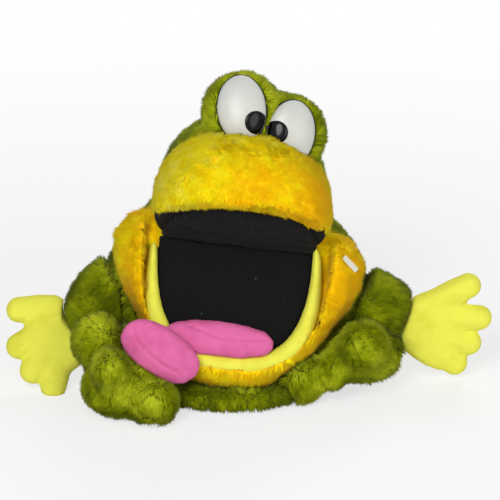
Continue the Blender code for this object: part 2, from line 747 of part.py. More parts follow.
def add_tag_pin(pouch):
    """The tag pin: a paddle on the cheek and a thread to the bar inside the cheek."""
    opening = MOUTH_WIDTH / 2 + LIP_WIDTH
    cheek = POUCH_WIDTH_SHARE * TORSO_WIDTH / 2 * (1 + POUCH_TAPER_SHARE * PIN_HEIGHT_SHARE) - opening
    spot = Vector((opening + PIN_ACROSS_SHARE * cheek, -POUCH_DEPTH, PIN_HEIGHT_SHARE * POUCH_HEIGHT / 2))
    outside = torso_place(POUCH_PLACE_SHARES) + turned((0, MOUTH_ROLL_DEG, 0)) @ spot
    found, place, normal, _ = pouch.ray_cast(outside, Vector((0, 1, 0)))
    if not found:
        raise RuntimeError("the tag pin misses the cheek")
    frame = Matrix.Translation(place) @ aimed(normal) @ Matrix.Rotation(math.radians(PADDLE_LEAN_DEG), 4, "Z")

    def box(name, size, level):
        shape = bmesh.new()
        bmesh.ops.create_cube(shape, size=1)
        spread = Matrix.Translation((0, 0, level)) @ Matrix.Diagonal((*size, 1))
        bmesh.ops.transform(shape, matrix=frame @ spread, verts=shape.verts)
        return piece(name, shape, "clear_plastic")

    lift = 2 * GAP + PADDLE_THICKNESS / 2
    pin = box("tag_pin", (PADDLE_WIDTH, PADDLE_LENGTH, PADDLE_THICKNESS), lift)
    thread = disc("thread", frame, THREAD_RADIUS, -THREAD_LENGTH, lift, sides=THREAD_SIDES)
    bar = box("bar", (BAR_LENGTH, 2 * BAR_RADIUS, 2 * BAR_RADIUS), -THREAD_LENGTH)
    combine(pin, thread, "UNION")
    combine(pin, bar, "UNION")
    bar_room = box(
        "bar_room", (BAR_LENGTH + 2 * GAP, 2 * (BAR_RADIUS + GAP), 2 * (BAR_RADIUS + GAP)), -THREAD_LENGTH
    )
    hole = disc("thread_hole", frame, THREAD_RADIUS + GAP, -THREAD_LENGTH, OVERRUN, sides=THREAD_SIDES)
    combine(pouch, hole, "DIFFERENCE")
    combine(pouch, bar_room, "DIFFERENCE")
    return pin


def tongue_hinge():
    """Pivot and axis at the tongue's sewn end; a positive turn lifts it off the floor."""
    frame = floor_frame()
    across = TONGUE_PLACE_SHARES[0] * MOUTH_WIDTH / 2 + TONGUE_LENGTH / 2
    down = TONGUE_PLACE_SHARES[1] * MOUTH_LENGTH
    pivot = frame @ Vector((across, -down, LINING_THICKNESS))
    return pivot, (frame.to_3x3() @ Vector((0, 1, 0))).normalized()


def fold_hinge():
    """Pivot and axis where the tongue folds over the lip; a positive turn swings the tip outwards."""
    slope = math.radians(TIP_SLOPE_DEG)
    return torso_place(FOLD_PLACE_SHARES), Vector((-math.cos(slope), 0, math.sin(slope)))


def add_tongue(trunk, lining, lip):
    """The tongue's root along the lip and its tip outside it."""
    frame = floor_frame()
    height = LINING_THICKNESS + FLOOR_CROWN / 2 + TONGUE_THICKNESS / 2
    centre = frame @ Vector((
        TONGUE_PLACE_SHARES[0] * MOUTH_WIDTH / 2, -TONGUE_PLACE_SHARES[1] * MOUTH_LENGTH, height
    ))
    lying = frame.to_3x3().to_4x4()
    root = stuffed(
        "tongue_root", centre, (TONGUE_LENGTH, TONGUE_WIDTH, TONGUE_THICKNESS), lying, TONGUE_FULLNESS,
        0.0, LIMB_FACETS, "pink_knit",
    )
    pivot, axis = tongue_hinge()
    cut_by(root, trunk, lip, lining)
    pinch_at_seam(root, (trunk, lip, lining), pivot, axis, TONGUE_LIFT_DEG)
    tip = stuffed(
        "tongue_tip", torso_place(TIP_PLACE_SHARES), (TIP_LENGTH, TIP_THICKNESS, TIP_WIDTH),
        turned((0, TIP_SLOPE_DEG, 0)), TONGUE_FULLNESS, 0.0, LIMB_FACETS, "pink_knit",
    )
    cut_by(tip, trunk, lip, lining, root)
    pinch_at_seam(tip, (trunk, lip, lining), pivot, axis, TONGUE_LIFT_DEG)
    fold, fold_axis = fold_hinge()
    pinch_at_seam(tip, (trunk, lip, lining, root), fold, fold_axis, FOLD_DEG)
    return root, tip


def arm_direction(side):
    """From the shoulder to the cuff."""
    drop = math.radians(ARM_DROP_DEG[side])
    return Vector((SIDES[side] * math.cos(drop), 0, -math.sin(drop)))


def shoulder_hinge(side):
    """Pivot and axis of a shoulder; a positive turn raises the hand."""
    centre = torso_place(ARM_PLACE_SHARES[side])
    return centre - arm_direction(side) * SHOULDER_SHARE * ARM_LENGTH, Vector((0, -SIDES[side], 0))


def cuff_centre(side):
    """Middle of the seam between arm and hand."""
    return torso_place(ARM_PLACE_SHARES[side]) + arm_direction(side) * ARM_CUFF_SHARE * ARM_LENGTH


def wrist_hinge(side):
    """Pivot and axis of a wrist, across the cuff; a positive turn brings the hand forward."""
    return cuff_centre(side), Vector((0, 1, 0)).cross(arm_direction(side)).normalized()


def add_arm(side, trunk):
    """One green arm, flat at its cuff and pinched at its shoulder seam."""
    direction = arm_direction(side)
    made = stuffed(
        f"arm_{side}", torso_place(ARM_PLACE_SHARES[side]), (ARM_WIDTH, ARM_DEPTH, ARM_LENGTH),
        aimed(direction), LIMB_FULLNESS, 0.0, LIMB_FACETS, "green_plush",
    )
    slice_off(made, cuff_centre(side), direction)
    pivot, axis = shoulder_hinge(side)
    cut_by(made, trunk)
    pinch_at_seam(made, (trunk,), pivot, axis, ARM_RAISE_DEG)
    return made


def finger_form(start, tip, across, thickness):
    """A blunt finger between two centres, as wide as it is round and flatter through the hand."""
    axis = tip - start
    shape = bmesh.new()
    bmesh.ops.create_uvsphere(shape, u_segments=FINGER_FACETS[0], v_segments=FINGER_FACETS[1], radius=1)
    for vert in shape.verts:
        stretch = math.copysign(axis.length / 2, vert.co.z) if abs(vert.co.z) > WELD else 0
        vert.co = (vert.co.x * FINGER_WIDTH / 2, vert.co.y * thickness / 2, vert.co.z * FINGER_WIDTH / 2 + stretch)
    along = axis.normalized()
    through = along.cross(across).normalized()
    frame = Matrix((through.cross(along), through, along)).transposed().to_4x4()
    bmesh.ops.transform(shape, matrix=Matrix.Translation((start + tip) / 2) @ frame, verts=shape.verts)
    return piece("finger", shape)


def add_hand(side, arm, trunk):
    """One fleece hand: a flat palm with four blunt fingers, pinched at its cuff."""
    centre = torso_place(HAND_PLACE_SHARES[side])
    tilt = turned((HAND_TILT_DEG[side], 0, 0))

    def spread(degrees):
        angle = math.radians(degrees)
        return tilt.to_3x3() @ Vector((SIDES[side] * math.cos(angle), 0, math.sin(angle)))

    aim = spread(PALM_AIM_DEG[side])
    over = spread(PALM_AIM_DEG[side] + 90)
    palm_turn = Matrix((over, aim.cross(over), aim)).transposed()
    made = stuffed(
        f"hand_{side}", centre - aim * PALM_SETBACK_SHARE * PALM_LENGTH / 2,
        (PALM_WIDTH, HAND_THICKNESS, PALM_LENGTH), palm_turn.to_4x4(), HAND_FULLNESS, PALM_TAPER_SHARE,
        LIMB_FACETS, "lime_fleece",
    )
    fingers = zip(FINGER_ROOT_SHARES, FINGER_FAN_DEG[side], FINGER_REACH_SHARES[side])
    for index, (root, fan, reach) in enumerate(fingers):
        start = centre + over * root * PALM_WIDTH / 2
        tip = centre + spread(fan) * reach * PALM_LENGTH
        finger = finger_form(start, tip, over, HAND_THICKNESS - FINGER_STEP * (index + 1))
        combine(made, finger, "UNION")
    seat_on_floor(made)
    cut_by(made, arm, trunk)
    wrist, wrist_axis = wrist_hinge(side)
    pinch_at_seam(made, (arm,), wrist, wrist_axis, -WRIST_BEND_DEG, WRIST_BEND_DEG)
    shoulder, shoulder_axis = shoulder_hinge(side)
    pinch_at_seam(made, (trunk,), shoulder, shoulder_axis, ARM_RAISE_DEG)
    return made


def hip_hinge(side):
    """Pivot and axis of a hip; a positive turn swings the leg outwards."""
    return torso_place(HIP_PLACE_SHARES[side]), Vector((0, 0, SIDES[side]))


def ankle_hinge(side):
    """Pivot and axis of an ankle; a positive turn swings the foot outwards."""
    pad = torso_place(PAD_PLACE_SHARES[side])
    return part_place(pad, ANKLE_SHARES[side], (PAD_WIDTH, PAD_DEPTH, PAD_HEIGHT)), Vector((0, 0, SIDES[side]))


def clear_the_arm(made, side, arm, hand, motion):
    """Cut a piece of the leg by the arm and hand as they move, also with the leg moved out by its own motion."""
    shoulder, shoulder_axis = shoulder_hinge(side)
    wrist, wrist_axis = wrist_hinge(side)
    pinch_at_seam(made, (arm, hand), shoulder, shoulder_axis, -ARM_RAISE_DEG)
    pinch_at_seam(made, (hand,), wrist, wrist_axis, -WRIST_BEND_DEG, WRIST_BEND_DEG)
    raised = about(shoulder, shoulder_axis, ARM_RAISE_DEG)
    swing = (shoulder, shoulder_axis)
    clear_when_moved(made, (arm,), motion.inverted() @ raised, swing)
    bent = raised @ about(wrist, wrist_axis, WRIST_BEND_DEG)
    clear_when_moved(made, (hand,), motion.inverted() @ bent, swing)


def add_thigh(side, trunk, arm, hand):
    """One green thigh, cut to swing at the hip beside the arm and hand."""
    made = stuffed(
        f"thigh_{side}", torso_place(THIGH_PLACE_SHARES[side]), (THIGH_WIDTH, THIGH_WIDTH, THIGH_LENGTH),
        aimed(Vector(THIGH_AIM_SHARES[side])), LIMB_FULLNESS, 0.0, LIMB_FACETS, "green_plush",
    )
    seat_on_floor(made)
    pivot, axis = hip_hinge(side)
    cut_by(made, trunk, arm, hand)
    pinch_at_seam(made, (trunk, arm, hand), pivot, axis, HIP_SWING_DEG)
    clear_the_arm(made, side, arm, hand, about(pivot, axis, HIP_SWING_DEG))
    return made


def add_foot(side, thigh, arm, hand, still, root, tip):
    """One green foot: a pad and three stuffed toes, cut to turn at the ankle and the hip."""
    centre = torso_place(PAD_PLACE_SHARES[side])
    size = (PAD_WIDTH, PAD_DEPTH, PAD_HEIGHT)
    made = stuffed(f"foot_{side}", centre, size, None, LIMB_FULLNESS, 0.0, LUMP_FACETS, "green_plush")
    for shares, width in zip(TOE_SHARES[side], TOE_WIDTH_SHARES):
        toe = stuffed("toe", part_place(centre, shares, size), (width * PAD_WIDTH,) * 3, facets=LUMP_FACETS)
        combine(made, toe, "UNION")
    seat_on_floor(made)
    others = (*still, arm, hand, root, tip)
    cut_by(made, thigh, *others)
    ankle, ankle_axis = ankle_hinge(side)
    pinch_at_seam(made, (thigh, *others), ankle, ankle_axis, ANKLE_TURN_DEG * ANKLE_START_SHARE, ANKLE_TURN_DEG)
    hip, hip_axis = hip_hinge(side)
    pinch_at_seam(made, others, hip, hip_axis, HIP_SWING_DEG)
    out = about(hip, hip_axis, HIP_SWING_DEG) @ about(ankle, ankle_axis, ANKLE_TURN_DEG)
    clear_the_arm(made, side, arm, hand, out)
    lift, lift_axis = tongue_hinge()
    pinch_at_seam(made, (root, tip), lift, lift_axis, -TONGUE_LIFT_DEG)
    fold, fold_axis = fold_hinge()
    pinch_at_seam(made, (tip,), fold, fold_axis, -FOLD_DEG)
    return made


def main():
    clear_scene()
    trunk = trunk_form()
    torso, pouch = add_trunk()
    lining, palate, lip = add_mouth()
    head = add_head()
    muzzle = add_muzzle(head)
    cut_by(head, palate)
    free_the_mouth((head, muzzle, palate), (trunk, lip, lining))
    for side in SIDES:
        add_eye(side, head)
    add_tag_pin(pouch)
    root, tip = add_tongue(trunk, lining, lip)
    for side in SIDES:
        arm = add_arm(side, trunk)
        hand = add_hand(side, arm, trunk)
        thigh = add_thigh(side, trunk, arm, hand)
        add_foot(side, thigh, arm, hand, (trunk, lip), root, tip)
    discard(trunk)


main()
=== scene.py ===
"""Seated plush frog: plush, fleece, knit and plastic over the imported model."""

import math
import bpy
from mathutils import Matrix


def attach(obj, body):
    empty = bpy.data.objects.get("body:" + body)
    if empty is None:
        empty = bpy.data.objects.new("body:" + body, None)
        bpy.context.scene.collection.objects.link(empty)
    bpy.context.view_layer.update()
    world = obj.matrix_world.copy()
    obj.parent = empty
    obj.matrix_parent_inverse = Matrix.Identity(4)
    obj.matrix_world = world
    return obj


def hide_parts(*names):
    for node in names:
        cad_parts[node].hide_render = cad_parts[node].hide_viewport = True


bl_info = {
    "name": "Plush Frog",
    "version": (1, 0, 0),
    "blender": (4, 5, 0),
    "location": "View3D > Sidebar > Frog",
    "description": "Dresses the seated frog in plush, fleece, knit and plastic",
    "category": "Object",
}

import bmesh
import bpy
import numpy as np
from bpy.props import FloatProperty, FloatVectorProperty, IntProperty, PointerProperty
from mathutils import Matrix, Vector
from mathutils.bvhtree import BVHTree
from mathutils.kdtree import KDTree

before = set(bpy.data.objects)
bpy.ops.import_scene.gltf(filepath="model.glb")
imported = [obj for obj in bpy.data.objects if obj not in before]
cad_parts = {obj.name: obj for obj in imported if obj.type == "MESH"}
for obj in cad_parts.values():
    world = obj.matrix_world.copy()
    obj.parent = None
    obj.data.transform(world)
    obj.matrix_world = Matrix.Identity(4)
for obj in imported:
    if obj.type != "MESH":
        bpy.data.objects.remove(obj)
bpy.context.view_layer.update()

MM = 0.001
SIDES = ("right", "left")

# Plush nodes: the mean tint of each green one, set lighter or darker part by part as painted light and shade on the
# one green fabric, and the body that each yellow one rides on
GREEN_PAINTED_LIGHT_LEVELS = {
    "torso": 0.26, "head": 0.36, "arm_right": 0.18, "arm_left": 0.13, "thigh_right": 0.14, "thigh_left": 0.2,
    "foot_right": 0.6, "foot_left": 0.6,
}
YELLOW_BODIES = {"face_pouch": "torso", "muzzle": "head"}
SMOOTH_NODES = (
    "lip_band", "mouth_lining", "palate_lining", "tongue_root", "tongue_tip", "hand_right", "hand_left",
    "eye_backing_right", "eye_backing_left", "eye_shell_right", "eye_shell_left", "tag_pin",
)

# Skins: welding distance, and the voxel and smoothing passes of each kind of plush
WELD = 0.000002
SKIN_GRAIN = {"green": (3.2 * MM, 8), "yellow": (2.4 * MM, 14)}

# Body skin: swells at the armpits, then how its top is drawn in behind the cheeks
ARMPIT_SWELLS = (((0.084, 0, 0.052), 0.032, 4.2 * MM), ((-0.09, 0, 0.056), 0.032, 5 * MM))
SHOULDER_START = 0.088
SHOULDER_HEIGHT = 0.05
SHOULDER_DRAW = 0.2

# Where tufts may stand: how near a smooth piece leaves no room for them, how the test for a seam's mouth leans
# and reaches, the bare zones by the floor and the lip with the facing that each allows, and the neighbours' margin
PRESSED_GAP = 0.0022
SEAM_TILT = (0.6, 0.8)
SEAM_REACH = 2
FLOOR_GAP = 0.004
FACING_DOWN = -0.4
LIP_GAP = 0.01
FACING_FORWARD = -0.3
NEIGHBOUR_MARGIN = 0.0008

# Shape of the pile: SHARES are a measure's least share and random share, and a DRIFT is its size and weight
MOST_TUFTS = 45000
FOOT_DEPTH = 0.0008
COMB_DRIFT = (0.05, 0.7)
COMB_SPREAD = 0.22
LENGTH_SHARES = (0.7, 0.4)
LENGTH_DRIFT = (0.03, 0.12)
LEAN_SHARES = (0.75, 0.45)
WIDTH_SHARES = (0.7, 0.6)
LOCK_TUFTS = 40
LOCK_SHARES = (0.1, 0.45)
LOCK_GAP = 0.25
LOCK_FACING = 0.75
TONE_DRIFT = (0.014, 0.12)
# Tufts that point upwards are painted paler: painted light on the raised nap
PAINTED_NAP_LIGHT = 0.1
TONE_SPREAD = {"green": 0.1, "yellow": 0.06}
TONE_SINGLE, TONE_LOCK = 0.5, 1.6
TONE_LIMITS = (0.02, 0.98)
LEAST_LENGTH = 0.12
TIP_GAP = 0.0006
FLOOR_CLEARANCE = 0.0003

# One tuft: the turns of its three feet, its breadth and thickness, its twist, and its shading
FOOT_TURNS = (-150, -30, 90)
BLADE_BREADTH, BLADE_THICKNESS = 0.58, 0.4
BLADE_TWIST = 0.3
SHADE_OUT, SHADE_ALONG = 0.7, 0.3
MAP_FOOT, MAP_TIP = 0.02, 0.98

# Slow drift: frequency and weight of each octave, waves in each, and the whole's divisor
OCTAVES = ((1.0, 0.6), (2.1, 0.3), (4.3, 0.18))
OCTAVE_WAVES = 3
DRIFT_DIVISOR = 1.6

# Combing: width over which a parting closes, the head's rise from front to back, and its sideways spread
PARTING_WIDTH = 0.015
BACK_RISE = (0.5, 12, 0.04)
BACK_SPREAD = 3

# Tints: place, radius and strength of each spot, then the level and the drift of each yellow piece
# The pile's tints by name; the root tint is painted shade at the foot of the pile
PILE_TINTS = ("root", "deep", "mid", "pale")
# Paler spots at the outline of both shoulders: painted rim light
GREEN_PAINTED_RIM_LIGHT = (((-0.09, -0.02, 0.12), 0.025, 0.5), ((0.085, -0.02, 0.105), 0.025, 0.4))
GREEN_DRIFT = (0.035, 0.26)
# How much paler the green is painted where it faces up: painted light from above
GREEN_PAINTED_TOP_LIGHT = 0.14
MUZZLE_WARM = (((0.045, -0.07, 0.165), 0.03, 0.4), ((0.015, -0.085, 0.175), 0.025, 0.15))
# Pale spots on the muzzle: one at the toy's right, and one on top that is painted light
MUZZLE_PALE_AND_PAINTED_TOP_LIGHT = (((-0.06, -0.05, 0.17), 0.03, 0.35), ((-0.03, -0.04, 0.2), 0.03, 0.25))
MUZZLE_LEVEL = 0.44
POUCH_WARM = (((0.075, -0.06, 0.09), 0.035, 0.3), ((-0.075, -0.06, 0.07), 0.04, 0.25))
# Where the cheeks' outer edges start, over what width they pale, and how much: painted sheen
POUCH_PAINTED_EDGE_SHEEN = (0.082, 0.012, 0.4)
POUCH_LEVEL = 0.3
YELLOW_DRIFT = (0.05, 0.14)

# The black hem on the muzzle: its plane, height, thickness and wandering edge
HEM_PLANE = (0.125, 0.342, 0.94)
HEM_LEVEL = 0.12
HEM_WANDER = (0.012, 0.0012)
HEM_THICKNESS = 1.2 * MM
HEM_GRAIN = (1.8 * MM, 8)
HEM_INSET = 0.7 * MM

# Cloth skins: the node, body and slot of each, its voxel, smoothing passes and fill, and how far it swells
CLOTH_SKINS = {
    "throat_lining": ("mouth_lining", "torso", "black_knit", 1.8 * MM, 10, 0.3, 1.0 * MM),
    "roof_lining": ("palate_lining", "head", "black_knit", 1.8 * MM, 8, 0.3, 0.8 * MM),
    "lip_fleece": ("lip_band", "torso", "lime_fleece", 1.5 * MM, 12, 0.7, 2.3 * MM),
    "tongue_root_knit": ("tongue_root", "tongue_root", "pink_knit", 1.2 * MM, 12, 0.7, 0.0),
    "tongue_tip_knit": ("tongue_tip", "tongue_tip", "pink_knit", 1.2 * MM, 12, 0.7, 0.0),
    "mitt_right": ("hand_right", "hand_right", "lime_fleece", 1.6 * MM, 9, 0.8, 0.0),
    "mitt_left": ("hand_left", "hand_left", "lime_fleece", 1.6 * MM, 9, 0.8, 0.0),
}
FLEECE_NAP = (1500, 0.0005)
TONGUE_NAP = (1300, 0.0004)

# The lip's ends, for the toy's right and left: top, edge by the knit, and how far each is drawn up
LIP_TOPS = (0.110, 0.095)
LIP_EDGES = (-0.0615, 0.0535)
LIP_RISES = (0.012, 0.022)
LIP_TAPER = 0.045
LIP_TAPER_POWER = 1.3
LIP_NARROWING = 0.62
LIP_SLOPE = 0.42
LIP_FORWARD = -2.4 * MM

# Waves as height and size, grooves as depth and width, and folds and stitched seams as lines of points
LINING_WAVES = (0.7 * MM, 0.028)
TONGUE_WAVES = (0.5 * MM, 0.02)
FOLD_GROOVE = (1.6 * MM, 3 * MM)
SEAM_GROOVE = (1.3 * MM, 1.4 * MM)
ROOF_FOLD = ((-0.045, -0.055, 0.139), (-0.02, -0.045, 0.132), (0.005, -0.05, 0.135), (0.03, -0.04, 0.127))
ROOT_SEAM = ((-0.037, -0.071, 0.069), (-0.023, -0.074, 0.064), (-0.011, -0.075, 0.06), (0.02, -0.072, 0.058))
TIP_SEAM = (
    (-0.079, -0.089, 0.0735), (-0.075, -0.091, 0.0635), (-0.066, -0.092, 0.0535), (-0.0565, -0.092, 0.045),
    (-0.0455, -0.091, 0.039),
)

# Each eye's frame: across, up and out of the eye, then its seat on the head
EYE_FRAMES = {
    "right": Matrix((
        (0.997564, -0.069757, 0.0, 0.001208),
        (0.02948, 0.421589, -0.906308, -0.010958),
        (0.063221, 0.9041, 0.422618, 0.216327),
        (0, 0, 0, 1),
    )),
    "left": Matrix((
        (0.973843, 0.155093, 0.166061, 0.037032),
        (0.10999, 0.317741, -0.941776, -0.011564),
        (-0.198827, 0.935407, 0.292372, 0.197474),
        (0, 0, 0, 1),
    )),
}
PUPIL_PLACES = {"right": (0.56, -0.46), "left": (-0.66, -0.02)}
EYE_LIFT = 0.3 * MM
EYE_EDGE = 0.0003
DOME_EDGE = 0.0005
DOME_STEPS = 16
PUPIL_LIMIT = 0.995

# Studio: what the camera aims at, its sensor and shift, the floor, and each lamp's place and size
AIM = (0.0, -0.03, 0.105)
SENSOR = 36
SHIFT = 0.02
FLOOR_RADIUS = 4
FLOOR_WHITE = 0.93
FLOOR_FADE = (0.3, 0.9, 0.68, 1.0)
LAMP_AIM = (0, 0, 0.1)
LAMPS = {
    "key": ((-0.6, -2.2, 1.5), 1.2),
    "fill": ((1.2, -1.8, 0.8), 1.4),
    "rim": ((0.6, 2.0, 1.7), 1.4),
}


def colour(red, green, blue):
    """A display colour of 0 to 255 as linear values."""
    parts = [value / 255 for value in (red, green, blue)]
    return tuple(part / 12.92 if part <= 0.04045 else ((part + 0.055) / 1.055) ** 2.4 for part in parts)


def colour_property(name, description, red, green, blue):
    """A colour setting with its default as a display colour."""
    return FloatVectorProperty(
        name=name, description=description, subtype="COLOR", size=3, min=0, max=1, default=colour(red, green, blue)
    )


class PlushSettings(bpy.types.PropertyGroup):
    """Sizes and colours of the plush pile."""

    green_pile: FloatProperty(name="Green pile", description="Length of the green pile", default=7 * MM, unit="LENGTH")
    yellow_pile: FloatProperty(
        name="Yellow pile", description="Length of the yellow pile", default=6.5 * MM, unit="LENGTH"
    )
    green_lean: FloatProperty(
        name="Green lean", description="How far the green pile lies over", default=math.radians(52), subtype="ANGLE"
    )
    yellow_lean: FloatProperty(
        name="Yellow lean", description="How far the yellow pile lies over", default=math.radians(68), subtype="ANGLE"
    )
    width: FloatProperty(name="Tuft width", description="Width of a tuft's foot", default=1.25 * MM, unit="LENGTH")
    green_inset: FloatProperty(
        name="Green inset", description="How far the green ground lies below the surface", default=2.4 * MM,
        unit="LENGTH",
    )
    yellow_inset: FloatProperty(
        name="Yellow inset", description="How far the yellow ground lies below the surface", default=1.4 * MM,
        unit="LENGTH",
    )
    density: FloatProperty(
        name="Tufts", description="Tufts on each square metre of plush", default=1900000, min=1000
    )
    # Each root colour is darker than the common tips: painted shade at the foot of the pile and on the ground between
    # the tufts
    green_deep: colour_property("Deep green", "Darkest tips of the green pile", 92, 104, 2)
    green_mid: colour_property("Green", "Common tips of the green pile", 152, 164, 6)
    green_pale: colour_property("Pale green", "Lightest tips of the green pile", 208, 216, 44)
    green_root: colour_property("Green roots", "Roots of the green pile", 72, 82, 2)
    yellow_deep: colour_property("Amber", "Deepest patches of the yellow pile", 255, 192, 2)
    yellow_mid: colour_property("Yellow", "Common tips of the yellow pile", 255, 236, 14)
    yellow_pale: colour_property("Pale yellow", "Lightest tips of the yellow pile", 255, 242, 100)
    yellow_root: colour_property("Yellow roots", "Roots of the yellow pile", 255, 222, 6)


class ClothSettings(bpy.types.PropertyGroup):
    """Colours and grain of the fleece and the knits."""

    fleece: colour_property("Fleece", "Fleece of the hands and the lip", 225, 224, 78)
    fleece_shade: colour_property("Fleece shade", "Hollows of the fleece", 215, 213, 64)
    lining: colour_property("Lining", "Ribbed lining of the mouth", 9, 9, 10)
    # The ribs' lighter colour is painted light on their raised crests
    lining_rib: colour_property("Lining rib", "Raised ribs of the lining", 18, 18, 19)
    tongue: colour_property("Tongue", "Brushed knit of the tongue", 212, 100, 155)
    tongue_shade: colour_property("Tongue shade", "Hollows of the tongue's knit", 200, 88, 141)
    rib_pitch: FloatProperty(name="Rib pitch", description="Distance between ribs", default=1.7 * MM, unit="LENGTH")


class EyeSettings(bpy.types.PropertyGroup):
    """Sizes and colours of the eyes."""

    width: FloatProperty(name="Width", description="Width of an eye", default=36 * MM, unit="LENGTH")
    height: FloatProperty(name="Height", description="Height of an eye", default=50 * MM, unit="LENGTH")
    bulge: FloatProperty(name="Bulge", description="Height of the dome", default=8 * MM, unit="LENGTH")
    rim: FloatProperty(name="Rim", description="Width of the dark rim", default=0.8 * MM, unit="LENGTH")
    backing: FloatProperty(name="Backing", description="Thickness of the backing", default=1.6 * MM, unit="LENGTH")
    pupil: FloatProperty(name="Pupil", description="Width of a pupil", default=17 * MM, unit="LENGTH")
    white: colour_property("White", "The dome", 196, 197, 192)
    black: colour_property("Black", "Pupil and rim", 6, 6, 7)


class StageSettings(bpy.types.PropertyGroup):
    """Camera and studio light."""

    elevation: FloatProperty(
        name="Elevation", description="Camera's height angle", default=math.radians(20), subtype="ANGLE"
    )
    distance: FloatProperty(name="Distance", description="Camera's distance", default=3.2, unit="LENGTH")
    frame_width: FloatProperty(name="Frame", description="Width seen at the frog", default=0.371, unit="LENGTH")
    key_power: FloatProperty(name="Key", description="Power of the key light", default=47, unit="POWER")
    fill_power: FloatProperty(name="Fill", description="Power of the fill light", default=16, unit="POWER")
    rim_power: FloatProperty(name="Rim", description="Power of the rim light", default=22, unit="POWER")
    sky: FloatProperty(name="Sky", description="Strength of the world light", default=0.22, min=0)
    sides: IntProperty(name="Curve sides", description="Sides of round pieces", default=64, min=8)


def tints(settings, *names):
    """Colours of a group of settings, as plain tuples."""
    return [tuple(getattr(settings, name)) for name in names]


def deselect():
    """Leave edit mode and select nothing."""
    if bpy.context.object and bpy.context.object.mode != "OBJECT":
        bpy.ops.object.mode_set(mode="OBJECT")
    bpy.ops.object.select_all(action="DESELECT")


def activate(piece):
    """Make a piece the only selected one, and the active one."""
    deselect()
    piece.select_set(True)
    bpy.context.view_layer.objects.active = piece


def apply_modifier(piece, modifier):
    activate(piece)
    bpy.ops.object.modifier_apply(modifier=modifier.name)


def add_piece(name, data):
    """A new object in the scene for a mesh, a camera or a light."""
    made = bpy.data.objects.new(name, data)
    bpy.context.scene.collection.objects.link(made)
    return made


def soften(piece, passes):
    """Smooth a skin by a number of passes."""
    smooth = piece.modifiers.new("softening", "SMOOTH")
    smooth.factor = 0.5
    smooth.iterations = passes
    apply_modifier(piece, smooth)


def rounded_copy(node, name, voxel, passes, shrink=0.0):
    """A node's solid as a rounded, stuffed skin of its own."""
    made = add_piece(name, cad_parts[node].data.copy())
    made.data.name = name
    made.data.materials.clear()
    activate(made)
    bpy.ops.object.mode_set(mode="EDIT")
    bpy.ops.mesh.select_all(action="SELECT")
    bpy.ops.mesh.remove_doubles(threshold=WELD)
    bpy.ops.object.mode_set(mode="OBJECT")
    remesh = made.modifiers.new("rounding", "REMESH")
    remesh.mode = "VOXEL"
    remesh.voxel_size = voxel
    apply_modifier(made, remesh)
    soften(made, math.ceil(passes / 2))
    if shrink:
        inset = made.modifiers.new("inset", "DISPLACE")
        inset.mid_level = 0
        inset.strength = -shrink
        apply_modifier(made, inset)
    soften(made, math.ceil(passes / 2))
    bpy.ops.object.shade_smooth()
    return made


def new_material(name, roughness, sheen=0.0):
    """A named material with its shader, node list and links."""
    made = bpy.data.materials.new(name)
    made.use_nodes = True
    nodes = made.node_tree.nodes
    shader = nodes["Principled BSDF"]
    shader.inputs["Roughness"].default_value = roughness
    shader.inputs["Sheen Weight"].default_value = sheen
    shader.inputs["Sheen Roughness"].default_value = 0.5
    shader.inputs["Specular IOR Level"].default_value = 0.3
    return made, shader, nodes, made.node_tree.links


def ramp(nodes, stops):
    """A colour ramp with its stops as (place, colour)."""
    made = nodes.new("ShaderNodeValToRGB")
    elements = made.color_ramp.elements
    while len(elements) < len(stops):
        elements.new(0.5)
    for element, (place, value) in zip(elements, stops):
        element.position = place
        element.color = (*value, 1)
    return made


def object_noise(nodes, links, scale, detail, roughness=0.5):
    """The value of a noise on the object's own coordinates."""
    place = nodes.new("ShaderNodeTexCoord")
    noise = nodes.new("ShaderNodeTexNoise")
    noise.inputs["Scale"].default_value = scale
    noise.inputs["Detail"].default_value = detail
    noise.inputs["Roughness"].default_value = roughness
    links.new(place.outputs["Object"], noise.inputs["Vector"])
    return noise.outputs["Fac"]


def colour_by(value, nodes, links, shader, *stops):
    """Colour a shader by a value, through a ramp."""
    tint = ramp(nodes, stops)
    links.new(value, tint.inputs["Fac"])
    links.new(tint.outputs["Color"], shader.inputs["Base Color"])


def bump_by(value, nodes, links, shader, strength, height):
    """Raise a shader's surface by a value."""
    bump = nodes.new("ShaderNodeBump")
    bump.inputs["Strength"].default_value = strength
    bump.inputs["Distance"].default_value = height
    links.new(value, bump.inputs["Height"])
    links.new(bump.outputs["Normal"], shader.inputs["Normal"])


def pile_material(name, root, deep, mid, pale):
    """Pile whose tint runs across the map and whose length runs up it, with painted shade at the roots."""
    made, shader, nodes, links = new_material(name, 0.9, 0.03)
    shader.inputs["Specular IOR Level"].default_value = 0.08
    place = nodes.new("ShaderNodeUVMap")
    place.uv_map = "OFBake"
    split = nodes.new("ShaderNodeSeparateXYZ")
    links.new(place.outputs["UV"], split.inputs[0])
    tips = ramp(nodes, ((0.0, deep), (0.5, mid), (1.0, pale)))
    links.new(split.outputs["X"], tips.inputs["Fac"])
    # Darker towards the roots: painted shade at the foot of the pile
    rise = ramp(nodes, ((0.0, (0.0, 0.0, 0.0)), (0.3, (0.55, 0.55, 0.55)), (0.7, (1.0, 1.0, 1.0))))
    links.new(split.outputs["Y"], rise.inputs["Fac"])
    mix = nodes.new("ShaderNodeMix")
    mix.data_type = "RGBA"
    links.new(rise.outputs["Color"], mix.inputs["Factor"])
    mix.inputs["A"].default_value = (*root, 1)
    links.new(tips.outputs["Color"], mix.inputs["B"])
    links.new(mix.outputs["Result"], shader.inputs["Base Color"])
    return made


